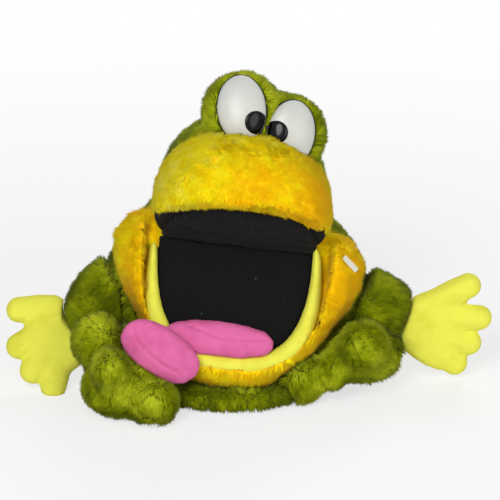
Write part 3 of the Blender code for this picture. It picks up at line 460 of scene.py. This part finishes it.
def backing_material(name, dark, light):
    """The woven ground that shows between the tufts, mottled between the painted shade of the roots and the deepest
    tint.
    """
    made, shader, nodes, links = new_material(name, 0.95)
    colour_by(object_noise(nodes, links, 220, 4), nodes, links, shader, (0.3, dark), (0.7, light))
    return made


def brushed_material(name, base, shade, grain, height):
    """Fleece or brushed knit: a soft mottled nap with fine bumps."""
    made, shader, nodes, links = new_material(name, 0.88, 0.35)
    shader.inputs["Sheen Tint"].default_value = (*base, 1)
    colour_by(object_noise(nodes, links, 55, 6, 0.65), nodes, links, shader, (0.34, shade), (0.52, base))
    bump_by(object_noise(nodes, links, grain, 5, 0.7), nodes, links, shader, 0.7, height)
    return made


def ribbed_material(name, base, rib_light, pitch):
    """The lining: fine upright ribs painted lighter on their crests as painted light, with specks of lint."""
    made, shader, nodes, links = new_material(name, 0.95, 0.02)
    shader.inputs["Specular IOR Level"].default_value = 0.15
    place = nodes.new("ShaderNodeTexCoord")
    wave = nodes.new("ShaderNodeTexWave")
    wave.wave_type = "BANDS"
    wave.bands_direction = "X"
    wave.inputs["Scale"].default_value = 2 * math.pi / 20 / pitch
    wave.inputs["Distortion"].default_value = 0.6
    wave.inputs["Detail"].default_value = 2
    links.new(place.outputs["Object"], wave.inputs["Vector"])
    # Painted light: the raised ribs lighter than the grooves between them
    tint = ramp(nodes, ((0.2, base), (0.9, rib_light)))
    links.new(wave.outputs["Color"], tint.inputs["Fac"])
    specks = ramp(nodes, ((0.755, (0.0, 0.0, 0.0)), (0.79, (1.0, 1.0, 1.0))))
    links.new(object_noise(nodes, links, 330, 2), specks.inputs["Fac"])
    mix = nodes.new("ShaderNodeMix")
    mix.data_type = "RGBA"
    links.new(specks.outputs["Color"], mix.inputs["Factor"])
    links.new(tint.outputs["Color"], mix.inputs["A"])
    mix.inputs["B"].default_value = (0.09, 0.09, 0.1, 1)
    links.new(mix.outputs["Result"], shader.inputs["Base Color"])
    bump_by(wave.outputs["Color"], nodes, links, shader, 0.5, 0.0006)
    return made


def moulded_material(name, base, roughness, coat=0.0, translucent=0.0, shine=0.5):
    """Moulded plastic with a faint unevenness in its colour."""
    made, shader, nodes, links = new_material(name, roughness)
    shader.inputs["Specular IOR Level"].default_value = shine
    shader.inputs["Coat Weight"].default_value = coat
    shader.inputs["Transmission Weight"].default_value = translucent
    darker = tuple(part * 0.93 for part in base)
    colour_by(object_noise(nodes, links, 90, 3), nodes, links, shader, (0.3, darker), (0.7, base))
    return made


def mesh_arrays(mesh):
    """Vertex places, vertex normals and triangles of a mesh."""
    count = len(mesh.vertices)
    places = np.empty(count * 3, dtype=np.float32)
    mesh.vertices.foreach_get("co", places)
    normals = np.empty(count * 3, dtype=np.float32)
    mesh.vertex_normals.foreach_get("vector", normals)
    mesh.calc_loop_triangles()
    triangles = np.empty(len(mesh.loop_triangles) * 3, dtype=np.int32)
    mesh.loop_triangles.foreach_get("vertices", triangles)
    return (
        places.reshape(-1, 3).astype(float), normals.reshape(-1, 3).astype(float), triangles.reshape(-1, 3)
    )


def move_to(mesh, places):
    """Put a mesh's vertices at new places."""
    mesh.vertices.foreach_set("co", places.astype(np.float32).reshape(-1))
    mesh.update()


def unit(vectors):
    """Vectors at length 1."""
    lengths = np.linalg.norm(vectors, axis=1, keepdims=True)
    return vectors / np.maximum(lengths, 1e-9)


def drift(places, size, seed, channels=1):
    """A smooth field between about -1 and 1 that wanders over the given size."""
    rng = np.random.default_rng(seed)
    total = np.zeros((len(places), channels))
    for channel in range(channels):
        for octave, weight in OCTAVES:
            for _ in range(OCTAVE_WAVES):
                direction = rng.normal(size=3)
                direction *= 2 * math.pi * octave / size / np.linalg.norm(direction)
                total[:, channel] += weight * np.sin(places @ direction + rng.uniform(0, 2 * math.pi)) / DRIFT_DIVISOR
    return total if channels > 1 else total[:, 0]


def surface_tree(names):
    """One search tree over several nodes' solids."""
    corners, faces = [], []
    for name in names:
        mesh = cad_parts[name].data
        start = len(corners)
        corners.extend(vert.co.copy() for vert in mesh.vertices)
        faces.extend([start + index for index in face.vertices] for face in mesh.polygons)
    return BVHTree.FromPolygons(corners, faces)


def scatter(skin, density, seed):
    """Evenly random places on a skin, with their normals."""
    places, normals, triangles = mesh_arrays(skin.data)
    corner = places[triangles]
    areas = np.linalg.norm(np.cross(corner[:, 1] - corner[:, 0], corner[:, 2] - corner[:, 0]), axis=1) / 2
    rng = np.random.default_rng(seed)
    count = int(areas.sum() * density)
    picked = rng.choice(len(triangles), count, p=areas / areas.sum())
    first, second = np.sqrt(rng.random(count)), rng.random(count)
    weights = np.stack((1 - first, first * (1 - second), first * second), axis=1)
    where = np.einsum("ij,ijk->ik", weights, corner[picked])
    facing = unit(np.einsum("ij,ijk->ik", weights, normals[triangles[picked]]))
    return where, facing, rng


def shares(rng, count, least, spread):
    """Random shares between a least one and that plus a spread."""
    return least + spread * rng.random(count)


def clump(roots, tips, normals, rng, pull):
    """Draw the tips of neighbouring tufts together, as brushed pile gathers in locks."""
    centres = rng.choice(len(roots), max(1, len(roots) // LOCK_TUFTS), replace=False)
    tree = KDTree(len(centres))
    for index, centre in enumerate(centres):
        tree.insert(roots[centre], index)
    tree.balance()
    nearest = np.array([centres[tree.find(root)[1]] for root in roots])
    gathered = tips[nearest] + (roots - roots[nearest]) * LOCK_GAP
    pull = pull * (np.einsum("ij,ij->i", normals, normals[nearest]) > LOCK_FACING)
    return tips + (gathered - tips) * pull[:, None], nearest


def open_ground(roots, normals, soft, hard, reach):
    """Which places are not covered by a neighbour, or lie at the mouth of a seam."""
    keep = np.ones(len(roots), dtype=bool)
    for index, (root, normal) in enumerate(zip(roots, normals)):
        start, aim = Vector(root), Vector(normal)
        if hard.ray_cast(start, aim, PRESSED_GAP)[0]:
            keep[index] = False
        elif soft.ray_cast(start, aim, reach)[0]:
            side = aim.orthogonal().normalized()
            leaning = (side, aim.cross(side), -side, -aim.cross(side))
            out, over = SEAM_TILT
            keep[index] = any(
                soft.ray_cast(start, aim * out + way * over, SEAM_REACH * reach)[0] is None for way in leaning
            )
    return keep & ~((roots[:, 2] < FLOOR_GAP) & (normals[:, 2] < FACING_DOWN))


def beyond(places, name, distance):
    """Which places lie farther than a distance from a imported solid."""
    tree = surface_tree([name])
    return np.array([tree.find_nearest(Vector(place), distance)[0] is None for place in places])


def trim(roots, tips, hard):
    """Shorten the tufts that would reach into a smooth piece, or through the floor."""
    for index in range(len(roots)):
        start = Vector(roots[index])
        aim = Vector(tips[index]) - start
        reach = aim.length
        hit = hard.ray_cast(start, aim, reach)
        if hit[0]:
            share = max(LEAST_LENGTH, (hit[3] - TIP_GAP) / reach)
            tips[index] = roots[index] + (tips[index] - roots[index]) * share
    tips[:, 2] = np.maximum(tips[:, 2], FLOOR_CLEARANCE)


def bare_places(node, roots, normals):
    """Which places of a node carry no pile: under the hem, and beside the lip where they turn away."""
    if node == "muzzle":
        return under_hem(roots)
    if node in ("torso", "face_pouch"):
        forward = (node == "face_pouch") & (normals[:, 1] < FACING_FORWARD)
        return ~(beyond(roots, "lip_band", LIP_GAP) | forward)
    return np.zeros(len(roots), dtype=bool)


def grow_pile(skin, node, kind, comb, tint, seed):
    """Places, tips, normals, tints and widths of the tufts on a skin, clear of what lies against it."""
    plush = bpy.context.scene.frog_plush
    pile, inset, lean = (getattr(plush, f"{kind}_{part}") for part in ("pile", "inset", "lean"))
    density = plush.density * 1.0
    roots, normals, rng = scatter(skin, density, seed)
    plush_there = ~bare_places(node, roots, normals)
    roots, normals = roots[plush_there], normals[plush_there]
    neighbours = surface_tree([name for name in (*GREEN_PAINTED_LIGHT_LEVELS, *YELLOW_BODIES) if name != node])
    hard = surface_tree(SMOOTH_NODES)
    keep = open_ground(roots, normals, neighbours, hard, inset + NEIGHBOUR_MARGIN)
    roots, normals = roots[keep], normals[keep]
    count = len(roots)
    size, weight = COMB_DRIFT
    flow = comb(roots) + drift(roots, size, seed + 1, 3) * weight + rng.normal(size=(count, 3)) * COMB_SPREAD
    flow = unit(flow - normals * np.einsum("ij,ij->i", flow, normals)[:, None])
    size, weight = LENGTH_DRIFT
    length = pile * (shares(rng, count, *LENGTH_SHARES) + weight * drift(roots, size, seed + 2))
    slope = lean * shares(rng, count, *LEAN_SHARES)
    tips = roots + length[:, None] * (normals * np.cos(slope)[:, None] + flow * np.sin(slope)[:, None])
    tips, nearest = clump(roots, tips, normals, rng, shares(rng, count, *LOCK_SHARES))
    trim(roots, tips, hard)
    size, weight = TONE_DRIFT
    # The pile is painted paler where it points up: painted light on the nap
    tone = tint(roots, normals) + weight * drift(roots, size, seed + 3) + PAINTED_NAP_LIGHT * flow[:, 2]
    spread = TONE_SPREAD[kind] * rng.normal(size=count)
    tone = np.clip(tone + TONE_SINGLE * spread + TONE_SINGLE * spread[nearest] * TONE_LOCK, *TONE_LIMITS)
    widths = plush.width * shares(rng, count, *WIDTH_SHARES)
    return (roots - normals * FOOT_DEPTH, tips, normals, tone, widths), rng


def tufts(name, roots, tips, normals, tone, widths, rng):
    """Closed flat blades of four faces, broad side out, mapped by tint and by height."""
    count = len(roots)
    along = unit(tips - roots)
    broad = unit(np.cross(along, normals) + rng.normal(size=(count, 3)) * BLADE_TWIST)
    across = unit(broad - along * np.einsum("ij,ij->i", broad, along)[:, None])
    third = np.cross(along, across)
    corners = np.empty((count, 4, 3))
    facing = np.empty((count, 4, 3))
    for index, angle in enumerate(math.radians(turn) for turn in FOOT_TURNS):
        spread = across * (BLADE_BREADTH * math.cos(angle)) + third * (BLADE_THICKNESS * math.sin(angle))
        corners[:, index] = roots + spread * widths[:, None]
        facing[:, index] = unit(normals * SHADE_OUT + spread)
    corners[:, 3] = tips
    facing[:, 3] = unit(normals * SHADE_OUT + along * SHADE_ALONG)
    pattern = np.array(((0, 2, 1), (0, 1, 3), (1, 2, 3), (2, 0, 3)), dtype=np.int32)
    faces = (pattern[None] + (np.arange(count, dtype=np.int32) * 4)[:, None, None]).reshape(-1)
    heights = np.array((MAP_FOOT, MAP_FOOT, MAP_FOOT, MAP_TIP))[pattern].reshape(-1)
    mesh = bpy.data.meshes.new(name)
    mesh.vertices.add(count * 4)
    mesh.vertices.foreach_set("co", corners.astype(np.float32).reshape(-1))
    mesh.loops.add(len(faces))
    mesh.loops.foreach_set("vertex_index", faces)
    mesh.polygons.add(len(faces) // 3)
    mesh.polygons.foreach_set("loop_start", np.arange(0, len(faces), 3, dtype=np.int32))
    mesh.polygons.foreach_set("use_smooth", np.ones(len(faces) // 3, dtype=bool))
    layer = mesh.uv_layers.new(name="OFBake")
    place = np.empty((len(faces), 2), dtype=np.float32)
    place[:, 0] = np.repeat(tone, pattern.size)
    place[:, 1] = np.tile(heights, count)
    layer.uv.foreach_set("vector", place.reshape(-1))
    mesh.update(calc_edges=True)
    mesh.normals_split_custom_set_from_vertices(facing.reshape(-1, 3).astype(np.float32))
    return add_piece(name, mesh)


def thin_out(lip):
    """Narrow both ends of the lip towards the knit, and draw them up along its edge."""
    places, _, _ = mesh_arrays(lip.data)
    right = places[:, 0] < 0
    top, edge, rise = (np.where(right, *values) for values in (LIP_TOPS, LIP_EDGES, LIP_RISES))
    share = np.clip((places[:, 2] - top + LIP_TAPER) / LIP_TAPER, 0, 1) ** LIP_TAPER_POWER
    places[:, 0] = edge + (places[:, 0] - edge) * (1 - LIP_NARROWING * share)
    places[:, 2] += share * rise
    places[:, 1] += LIP_SLOPE * (share * rise)
    move_to(lip.data, places)


def shape_body(skin):
    """Fill the body out where the arms lie on it, and draw its top in behind the cheeks."""
    places, normals, _ = mesh_arrays(skin.data)
    places += normals * spots(places, ARMPIT_SWELLS)[:, None]
    rise = np.clip((places[:, 2] - SHOULDER_START) / SHOULDER_HEIGHT, 0, 1)
    places[:, 0] *= 1 - SHOULDER_DRAW * rise
    move_to(skin.data, places)


def dress(node, body, kind, skin_material, pile_look, comb, tint, seed):
    """Replace a plush node by its skin and the pile that grows on it, in pieces that stay light."""
    voxel, passes = SKIN_GRAIN[kind]
    inset = getattr(bpy.context.scene.frog_plush, f"{kind}_inset")
    skin = rounded_copy(node, f"{node}_skin", voxel, passes, inset)
    if node == "torso":
        shape_body(skin)
    skin.data.materials.append(skin_material)
    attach(skin, body)
    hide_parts(node)
    pile, rng = grow_pile(skin, node, kind, comb, tint, seed)
    order = np.argsort(pile[0][:, 1])
    for number, part in enumerate(np.array_split(order, max(1, math.ceil(len(order) / MOST_TUFTS)))):
        coat = tufts(f"{node}_pile_{number + 1}", *(values[part] for values in pile), rng)
        coat.data.materials.append(pile_look)
        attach(coat, body)


def under_hem(places):
    """Which places lie below the hem, where the black knit wraps over the muzzle's edge."""
    across, back, up = HEM_PLANE
    level = across * places[:, 0] + back * places[:, 1] + up * places[:, 2]
    size, weight = HEM_WANDER
    return level < HEM_LEVEL + weight * drift(places, size, 61)


def flow_from(point, down=0.35):
    """Comb away from a point and a little downwards."""
    def comb(places):
        return unit(places - np.array(point)) + np.array((0.0, 0.0, -down))
    return comb


def flow_along(direction):
    """Comb one way all over."""
    def comb(places):
        return np.tile(np.array(direction, dtype=float), (len(places), 1))
    return comb


def flow_down(spread, forward, start=0.0):
    """Comb forward and down, and beyond a start outwards to both sides, so that no parting shows."""
    def comb(places):
        across = places[:, 0] * spread * np.clip((np.abs(places[:, 0]) - start) / PARTING_WIDTH, 0, 1)
        return np.stack((across, np.full(len(places), -forward), np.full(len(places), -1.0)), axis=1)
    return comb


def flow_back(places):
    """Comb the head up from the muzzle, over the top and down the back."""
    start, change, middle = BACK_RISE
    rise = start - change * (places[:, 1] + middle)
    return np.stack((BACK_SPREAD * places[:, 0], np.ones(len(places)), rise), axis=1)


def spots(places, centres):
    """A soft weight round each centre, given as place, radius and strength."""
    total = np.zeros(len(places))
    for centre, radius, strength in centres:
        gap = np.linalg.norm(places - np.array(centre), axis=1)
        total += strength * np.exp(-((gap / radius) ** 2))
    return total


def green_tint(level):
    """Mottled green about a mean level, with painted rim light and painted light from above making it paler on top."""
    size, weight = GREEN_DRIFT

    def tint(places, normals):
        return level + spots(places, GREEN_PAINTED_RIM_LIGHT) + weight * drift(places, size, 71) + GREEN_PAINTED_TOP_LIGHT * normals[:, 2]
    return tint


def muzzle_tint(places, normals):
    """Amber at the toy's left of the muzzle, pale at its right, and paler on top as painted light."""
    size, weight = YELLOW_DRIFT
    return MUZZLE_LEVEL - spots(places, MUZZLE_WARM) + spots(places, MUZZLE_PALE_AND_PAINTED_TOP_LIGHT) + weight * drift(places, size, 72)


def pouch_tint(places, normals):
    """Amber on the cheeks, with painted sheen making them pale along their outer edges."""
    size, weight = YELLOW_DRIFT
    edge, width, strength = POUCH_PAINTED_EDGE_SHEEN
    # Painted sheen: paler along the cheeks' outer edges
    pale = np.clip((np.abs(places[:, 0]) - edge) / width, 0, 1) * strength
    return POUCH_LEVEL - spots(places, POUCH_WARM) + pale + weight * drift(places, size, 73)


def plush_looks(kind):
    """The ground and the pile of one kind of plush."""
    root, deep, mid, pale = tints(bpy.context.scene.frog_plush, *(f"{kind}_{part}" for part in PILE_TINTS))
    return backing_material(f"{kind}_ground", root, deep), pile_material(f"{kind}_pile", root, deep, mid, pale)


class FROG_OT_green_plush(bpy.types.Operator):
    """Green plush of the torso, head, arms and legs"""

    bl_idname = "frog.green_plush"
    bl_label = "Green plush"

    def execute(self, context):
        ground, look = plush_looks("green")
        combs = {
            "torso": flow_from((0, -0.05, 0.12), 0.7),
            "head": flow_back,
            "arm_right": flow_along((-0.6, 0, -0.8)),
            "arm_left": flow_along((0.9, 0, -0.4)),
            "thigh_right": flow_from((-0.04, 0.02, 0.06)),
            "thigh_left": flow_from((0.04, 0.02, 0.06)),
            "foot_right": flow_from((-0.07, -0.03, 0.05)),
            "foot_left": flow_from((0.07, -0.01, 0.05)),
        }
        for index, (node, level) in enumerate(GREEN_PAINTED_LIGHT_LEVELS.items()):
            dress(node, node, "green", ground, look, combs[node], green_tint(level), 100 + 10 * index)
        return {"FINISHED"}


class FROG_OT_yellow_plush(bpy.types.Operator):
    """Yellow plush of the muzzle and of the cheeks and chin"""

    bl_idname = "frog.yellow_plush"
    bl_label = "Yellow plush"

    def execute(self, context):
        ground, look = plush_looks("yellow")
        for node, comb, tint, seed in (
            ("muzzle", flow_down(9, 0.6), muzzle_tint, 300),
            ("face_pouch", flow_down(6, 0.12, 0.068), pouch_tint, 320),
        ):
            dress(node, YELLOW_BODIES[node], "yellow", ground, look, comb, tint, seed)
        return {"FINISHED"}


def cloth_piece(name, look):
    """Replace a fleece or knit node by its rounded skin."""
    node, body, slot, voxel, passes, fill, swell = CLOTH_SKINS[name]
    made = rounded_copy(node, name, voxel, passes, -swell)
    made.data.materials.append(look)
    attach(made, body)
    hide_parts(node)
    return made


def ruffle(piece, height, size, seed):
    """Push a skin in and out in soft waves."""
    places, normals, _ = mesh_arrays(piece.data)
    move_to(piece.data, places + normals * (height * drift(places, size, seed))[:, None])


def groove(piece, line, depth, width):
    """Sink a stitched seam along a line of points."""
    places, normals, _ = mesh_arrays(piece.data)
    nearest = np.full(len(places), 1.0)
    for start, end in zip(line, line[1:]):
        first, along = np.array(start), np.array(end) - np.array(start)
        share = np.clip((places - first) @ along / (along @ along), 0, 1)
        nearest = np.minimum(nearest, np.linalg.norm(places - first - share[:, None] * along, axis=1))
    move_to(piece.data, places - normals * (depth * np.exp(-((nearest / width) ** 2)))[:, None])


class FROG_OT_mouth(bpy.types.Operator):
    """Ribbed lining of the mouth and palate, and the fleece lip"""

    bl_idname = "frog.mouth"
    bl_label = "Mouth"

    def execute(self, context):
        cloth = context.scene.frog_cloth
        lining = ribbed_material("lining_knit", *tints(cloth, "lining", "lining_rib"), cloth.rib_pitch)
        fleece = brushed_material("lip_fleece", *tints(cloth, "fleece", "fleece_shade"), *FLEECE_NAP)
        throat = cloth_piece("throat_lining", lining)
        roof = cloth_piece("roof_lining", lining)
        for piece, seed in ((throat, 41), (roof, 42)):
            ruffle(piece, *LINING_WAVES, seed)
        groove(roof, ROOF_FOLD, *FOLD_GROOVE)
        self.hem(lining)
        lip = cloth_piece("lip_fleece", fleece)
        thin_out(lip)
        lip.data.transform(Matrix.Translation((0, LIP_FORWARD, 0)))
        return {"FINISHED"}

    def hem(self, lining):
        """The edge of the roof's knit, wrapped over the corners of the muzzle."""
        made = rounded_copy("muzzle", "roof_hem", *HEM_GRAIN, HEM_INSET)
        shape = bmesh.new()
        shape.from_mesh(made.data)
        centres = np.array([face.calc_center_median() for face in shape.faces])
        above = [face for face, low in zip(list(shape.faces), under_hem(centres)) if not low]
        bmesh.ops.delete(shape, geom=above, context="FACES")
        shape.to_mesh(made.data)
        shape.free()
        made.data.materials.append(lining)
        thick = made.modifiers.new("cloth", "SOLIDIFY")
        thick.thickness = HEM_THICKNESS
        thick.offset = -1
        apply_modifier(made, thick)
        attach(made, "head")


class FROG_OT_tongue(bpy.types.Operator):
    """The stuffed tongue and its folded tip"""

    bl_idname = "frog.tongue"
    bl_label = "Tongue"

    def execute(self, context):
        cloth = context.scene.frog_cloth
        knit = brushed_material("tongue_knit", *tints(cloth, "tongue", "tongue_shade"), *TONGUE_NAP)
        root = cloth_piece("tongue_root_knit", knit)
        tip = cloth_piece("tongue_tip_knit", knit)
        for piece, line in ((root, ROOT_SEAM), (tip, TIP_SEAM)):
            ruffle(piece, *TONGUE_WAVES, 51)
            groove(piece, line, *SEAM_GROOVE)
        return {"FINISHED"}


class FROG_OT_hands(bpy.types.Operator):
    """The fleece hands"""

    bl_idname = "frog.hands"
    bl_label = "Hands"

    def execute(self, context):
        cloth = context.scene.frog_cloth
        fleece = brushed_material("hand_fleece", *tints(cloth, "fleece", "fleece_shade"), *FLEECE_NAP)
        for side in SIDES:
            cloth_piece(f"mitt_{side}", fleece)
        return {"FINISHED"}


def oval_solid(name, width, height, rows, sides):
    """A closed oval solid from rows of (share of the outline, local height)."""
    shape = bmesh.new()
    rings = []
    for share, level in rows:
        if share == 0:
            rings.append([shape.verts.new((0, 0, level))])
            continue
        ring = []
        for index in range(sides):
            angle = 2 * math.pi * index / sides
            ring.append(shape.verts.new((
                math.cos(angle) * width / 2 * share, math.sin(angle) * height / 2 * share, level
            )))
        rings.append(ring)
    for lower, upper in zip(rings, rings[1:]):
        for index in range(sides):
            after = (index + 1) % sides
            if len(lower) == 1:
                shape.faces.new((lower[0], upper[after], upper[index]))
            elif len(upper) == 1:
                shape.faces.new((lower[index], lower[after], upper[0]))
            else:
                shape.faces.new((lower[index], lower[after], upper[after], upper[index]))
    bmesh.ops.recalc_face_normals(shape, faces=shape.faces)
    mesh = bpy.data.meshes.new(name)
    shape.to_mesh(mesh)
    shape.free()
    made = add_piece(name, mesh)
    activate(made)
    bpy.ops.object.shade_smooth()
    return made


def dome_rows(bulge, base, steps):
    """Rows from the middle of the flat back, round a small edge and over the dome."""
    rows = [(0, base), (0.6, base), (0.97, base), (0.995, base + 0.0002)]
    for step in range(steps):
        angle = math.pi / 2 * step / steps
        rows.append((math.cos(angle), base + DOME_EDGE + (bulge - DOME_EDGE) * math.sin(angle)))
    rows.append((0, base + bulge))
    return rows


class FROG_OT_eyes(bpy.types.Operator):
    """The domed eyes with their dark rims and pupils"""

    bl_idname = "frog.eyes"
    bl_label = "Eyes"

    def execute(self, context):
        eyes = context.scene.frog_eyes
        sides = context.scene.frog_stage.sides
        white = moulded_material("eye_white", tuple(eyes.white), 0.32, shine=0.3)
        black = moulded_material("eye_black", tuple(eyes.black), 0.14, shine=0.16)
        for side in SIDES:
            rim, top = eyes.rim, eyes.backing
            rows = [(0, 0), (0.97, 0), (1.0, EYE_EDGE), (1.0, top - EYE_EDGE), (0.985, top), (0, top)]
            plate = oval_solid(f"eye_rim_{side}", eyes.width + 2 * rim, eyes.height + 2 * rim, rows, sides)
            base = top + EYE_LIFT
            rows = dome_rows(eyes.bulge, base, DOME_STEPS)
            shell = oval_solid(f"eye_dome_{side}", eyes.width, eyes.height, rows, sides)
            pupil = self.pupil(side, eyes, base, sides)
            for piece, look, slot in (
                (plate, black, "black_plastic"), (shell, white, "white_plastic"), (pupil, black, "black_plastic")
            ):
                piece.data.transform(EYE_FRAMES[side])
                piece.data.materials.append(look)
                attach(piece, "head")
            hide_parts(f"eye_backing_{side}")
            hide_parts(f"eye_shell_{side}")
            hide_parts(f"eye_pupil_{side}")
        return {"FINISHED"}

    def pupil(self, side, eyes, base, sides):
        """A low button that follows the dome under it."""
        lift = EYE_LIFT
        rows = [(0, lift), (0.5, lift), (0.96, lift), (1.0, lift + 0.15 * MM), (0.97, lift + 0.5 * MM)]
        rows += [(0.85, lift + 0.75 * MM), (0.55, lift + 0.85 * MM), (0.3, lift + 0.88 * MM), (0, lift + 0.9 * MM)]
        made = oval_solid(f"eye_button_{side}", eyes.pupil, eyes.pupil, rows, sides)
        across, up = PUPIL_PLACES[side]
        half_width, half_height = eyes.width / 2, eyes.height / 2
        for vert in made.data.vertices:
            x = vert.co.x + across * half_width
            y = vert.co.y + up * half_height
            reach = math.hypot(x / half_width, y / half_height)
            if reach > PUPIL_LIMIT:
                x, y = x * PUPIL_LIMIT / reach, y * PUPIL_LIMIT / reach
                reach = PUPIL_LIMIT
            vert.co = (x, y, base + eyes.bulge * math.sqrt(1 - reach ** 2) + vert.co.z)
        return made


class FROG_OT_small_pieces(bpy.types.Operator):
    """Looks for the tag pin and the washers inside the head"""

    bl_idname = "frog.small_pieces"
    bl_label = "Small pieces"

    def execute(self, context):
        pin = moulded_material("pin_plastic", colour(238, 236, 226), 0.35, 0.2, 0.15)
        washer = moulded_material("washer_plastic", colour(225, 226, 222), 0.4)
        names = {"tag_pin": pin, "eye_washer_right": washer, "eye_washer_left": washer}
        for name, look in names.items():
            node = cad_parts[name]
            for slot in node.material_slots:
                slot.material = look
        return {"FINISHED"}


class FROG_OT_stage(bpy.types.Operator):
    """Floor, studio light and camera"""

    bl_idname = "frog.stage"
    bl_label = "Stage"

    def execute(self, context):
        stage = context.scene.frog_stage
        self.camera(stage)
        self.floor()
        self.world(stage)
        for name, (place, size) in LAMPS.items():
            self.lamp(f"{name}_light", place, size, getattr(stage, f"{name}_power"))
        context.scene.view_settings.view_transform = "Standard"
        return {"FINISHED"}

    def camera(self, stage):
        """The camera at the photograph's angle."""
        back = Vector((0, -math.cos(stage.elevation), math.sin(stage.elevation)))
        data = bpy.data.cameras.new("camera")
        data.sensor_width = SENSOR
        data.lens = SENSOR * stage.distance / stage.frame_width
        data.shift_x = SHIFT
        data.shift_y = SHIFT
        made = add_piece("camera", data)
        made.location = Vector(AIM) + back * stage.distance
        made.rotation_euler = (-back).to_track_quat("-Z", "Y").to_euler()
        bpy.context.scene.camera = made

    def floor(self):
        """A pale floor that fades into the white behind it."""
        deselect()
        bpy.ops.mesh.primitive_circle_add(vertices=64, radius=FLOOR_RADIUS, fill_type="NGON", location=(0, 0, 0))
        made = bpy.context.active_object
        made.name = "floor"
        look, shader, nodes, links = new_material("floor_paint", 0.9)
        shader.inputs["Base Color"].default_value = (FLOOR_WHITE, FLOOR_WHITE, FLOOR_WHITE, 1)
        shader.inputs["Specular IOR Level"].default_value = 0
        glow = nodes.new("ShaderNodeEmission")
        glow.inputs["Strength"].default_value = 1
        place = nodes.new("ShaderNodeTexCoord")
        length = nodes.new("ShaderNodeVectorMath")
        length.operation = "LENGTH"
        links.new(place.outputs["Object"], length.inputs[0])
        fade = nodes.new("ShaderNodeMapRange")
        for end, value in zip(("From Min", "From Max", "To Min", "To Max"), FLOOR_FADE):
            fade.inputs[end].default_value = value
        links.new(length.outputs["Value"], fade.inputs["Value"])
        seen = nodes.new("ShaderNodeLightPath")
        gate = nodes.new("ShaderNodeMath")
        gate.operation = "MULTIPLY"
        links.new(seen.outputs["Is Camera Ray"], gate.inputs[0])
        links.new(fade.outputs["Result"], gate.inputs[1])
        mix = nodes.new("ShaderNodeMixShader")
        links.new(gate.outputs["Value"], mix.inputs["Fac"])
        links.new(shader.outputs["BSDF"], mix.inputs[1])
        links.new(glow.outputs["Emission"], mix.inputs[2])
        links.new(mix.outputs["Shader"], nodes["Material Output"].inputs["Surface"])
        made.data.materials.append(look)

    def world(self, stage):
        """A soft sky that looks white to the camera."""
        world = bpy.data.worlds.new("studio")
        bpy.context.scene.world = world
        world.use_nodes = True
        nodes, links = world.node_tree.nodes, world.node_tree.links
        soft = nodes["Background"]
        soft.inputs["Color"].default_value = (1, 1, 1, 1)
        soft.inputs["Strength"].default_value = stage.sky
        white = nodes.new("ShaderNodeBackground")
        white.inputs["Color"].default_value = (1, 1, 1, 1)
        white.inputs["Strength"].default_value = 1
        seen = nodes.new("ShaderNodeLightPath")
        shown = seen.outputs["Is Camera Ray"]
        for ray in ("Is Glossy Ray", "Is Transmission Ray"):
            either = nodes.new("ShaderNodeMath")
            either.operation = "MAXIMUM"
            links.new(shown, either.inputs[0])
            links.new(seen.outputs[ray], either.inputs[1])
            shown = either.outputs["Value"]
        mix = nodes.new("ShaderNodeMixShader")
        links.new(shown, mix.inputs["Fac"])
        links.new(soft.outputs["Background"], mix.inputs[1])
        links.new(white.outputs["Background"], mix.inputs[2])
        links.new(mix.outputs["Shader"], nodes["World Output"].inputs["Surface"])

    def lamp(self, name, place, size, power):
        """A round soft light that faces the frog."""
        data = bpy.data.lights.new(name, "AREA")
        data.shape = "DISK"
        data.size = size
        data.energy = power
        made = add_piece(name, data)
        made.location = place
        made.rotation_euler = (Vector(LAMP_AIM) - Vector(place)).to_track_quat("-Z", "Y").to_euler()


class FROG_PT_panel(bpy.types.Panel):
    """Steps and settings of the plush frog"""

    bl_idname = "FROG_PT_panel"
    bl_label = "Plush Frog"
    bl_space_type = "VIEW_3D"
    bl_region_type = "UI"
    bl_category = "Frog"

    def draw(self, context):
        for operator in OPERATORS:
            self.layout.operator(operator.bl_idname)
        for name, settings in GROUPS.items():
            box = self.layout.box()
            for key in settings.__annotations__:
                box.prop(getattr(context.scene, name), key)


OPERATORS = (
    FROG_OT_green_plush, FROG_OT_yellow_plush, FROG_OT_mouth, FROG_OT_tongue, FROG_OT_hands, FROG_OT_eyes,
    FROG_OT_small_pieces, FROG_OT_stage,
)
GROUPS = {
    "frog_plush": PlushSettings, "frog_cloth": ClothSettings, "frog_eyes": EyeSettings, "frog_stage": StageSettings,
}


def register():
    for group in GROUPS.values():
        bpy.utils.register_class(group)
    for name, group in GROUPS.items():
        setattr(bpy.types.Scene, name, PointerProperty(type=group))
    for operator in (*OPERATORS, FROG_PT_panel):
        bpy.utils.register_class(operator)


def unregister():
    for operator in (FROG_PT_panel, *reversed(OPERATORS)):
        bpy.utils.unregister_class(operator)
    for name, group in reversed(GROUPS.items()):
        delattr(bpy.types.Scene, name)
        bpy.utils.unregister_class(group)


def main():
    register()
    bpy.ops.frog.green_plush()
    bpy.ops.frog.yellow_plush()
    bpy.ops.frog.mouth()
    bpy.ops.frog.tongue()
    bpy.ops.frog.hands()
    bpy.ops.frog.eyes()
    bpy.ops.frog.small_pieces()
    bpy.ops.frog.stage()


if __name__ == "__main__":
    main()
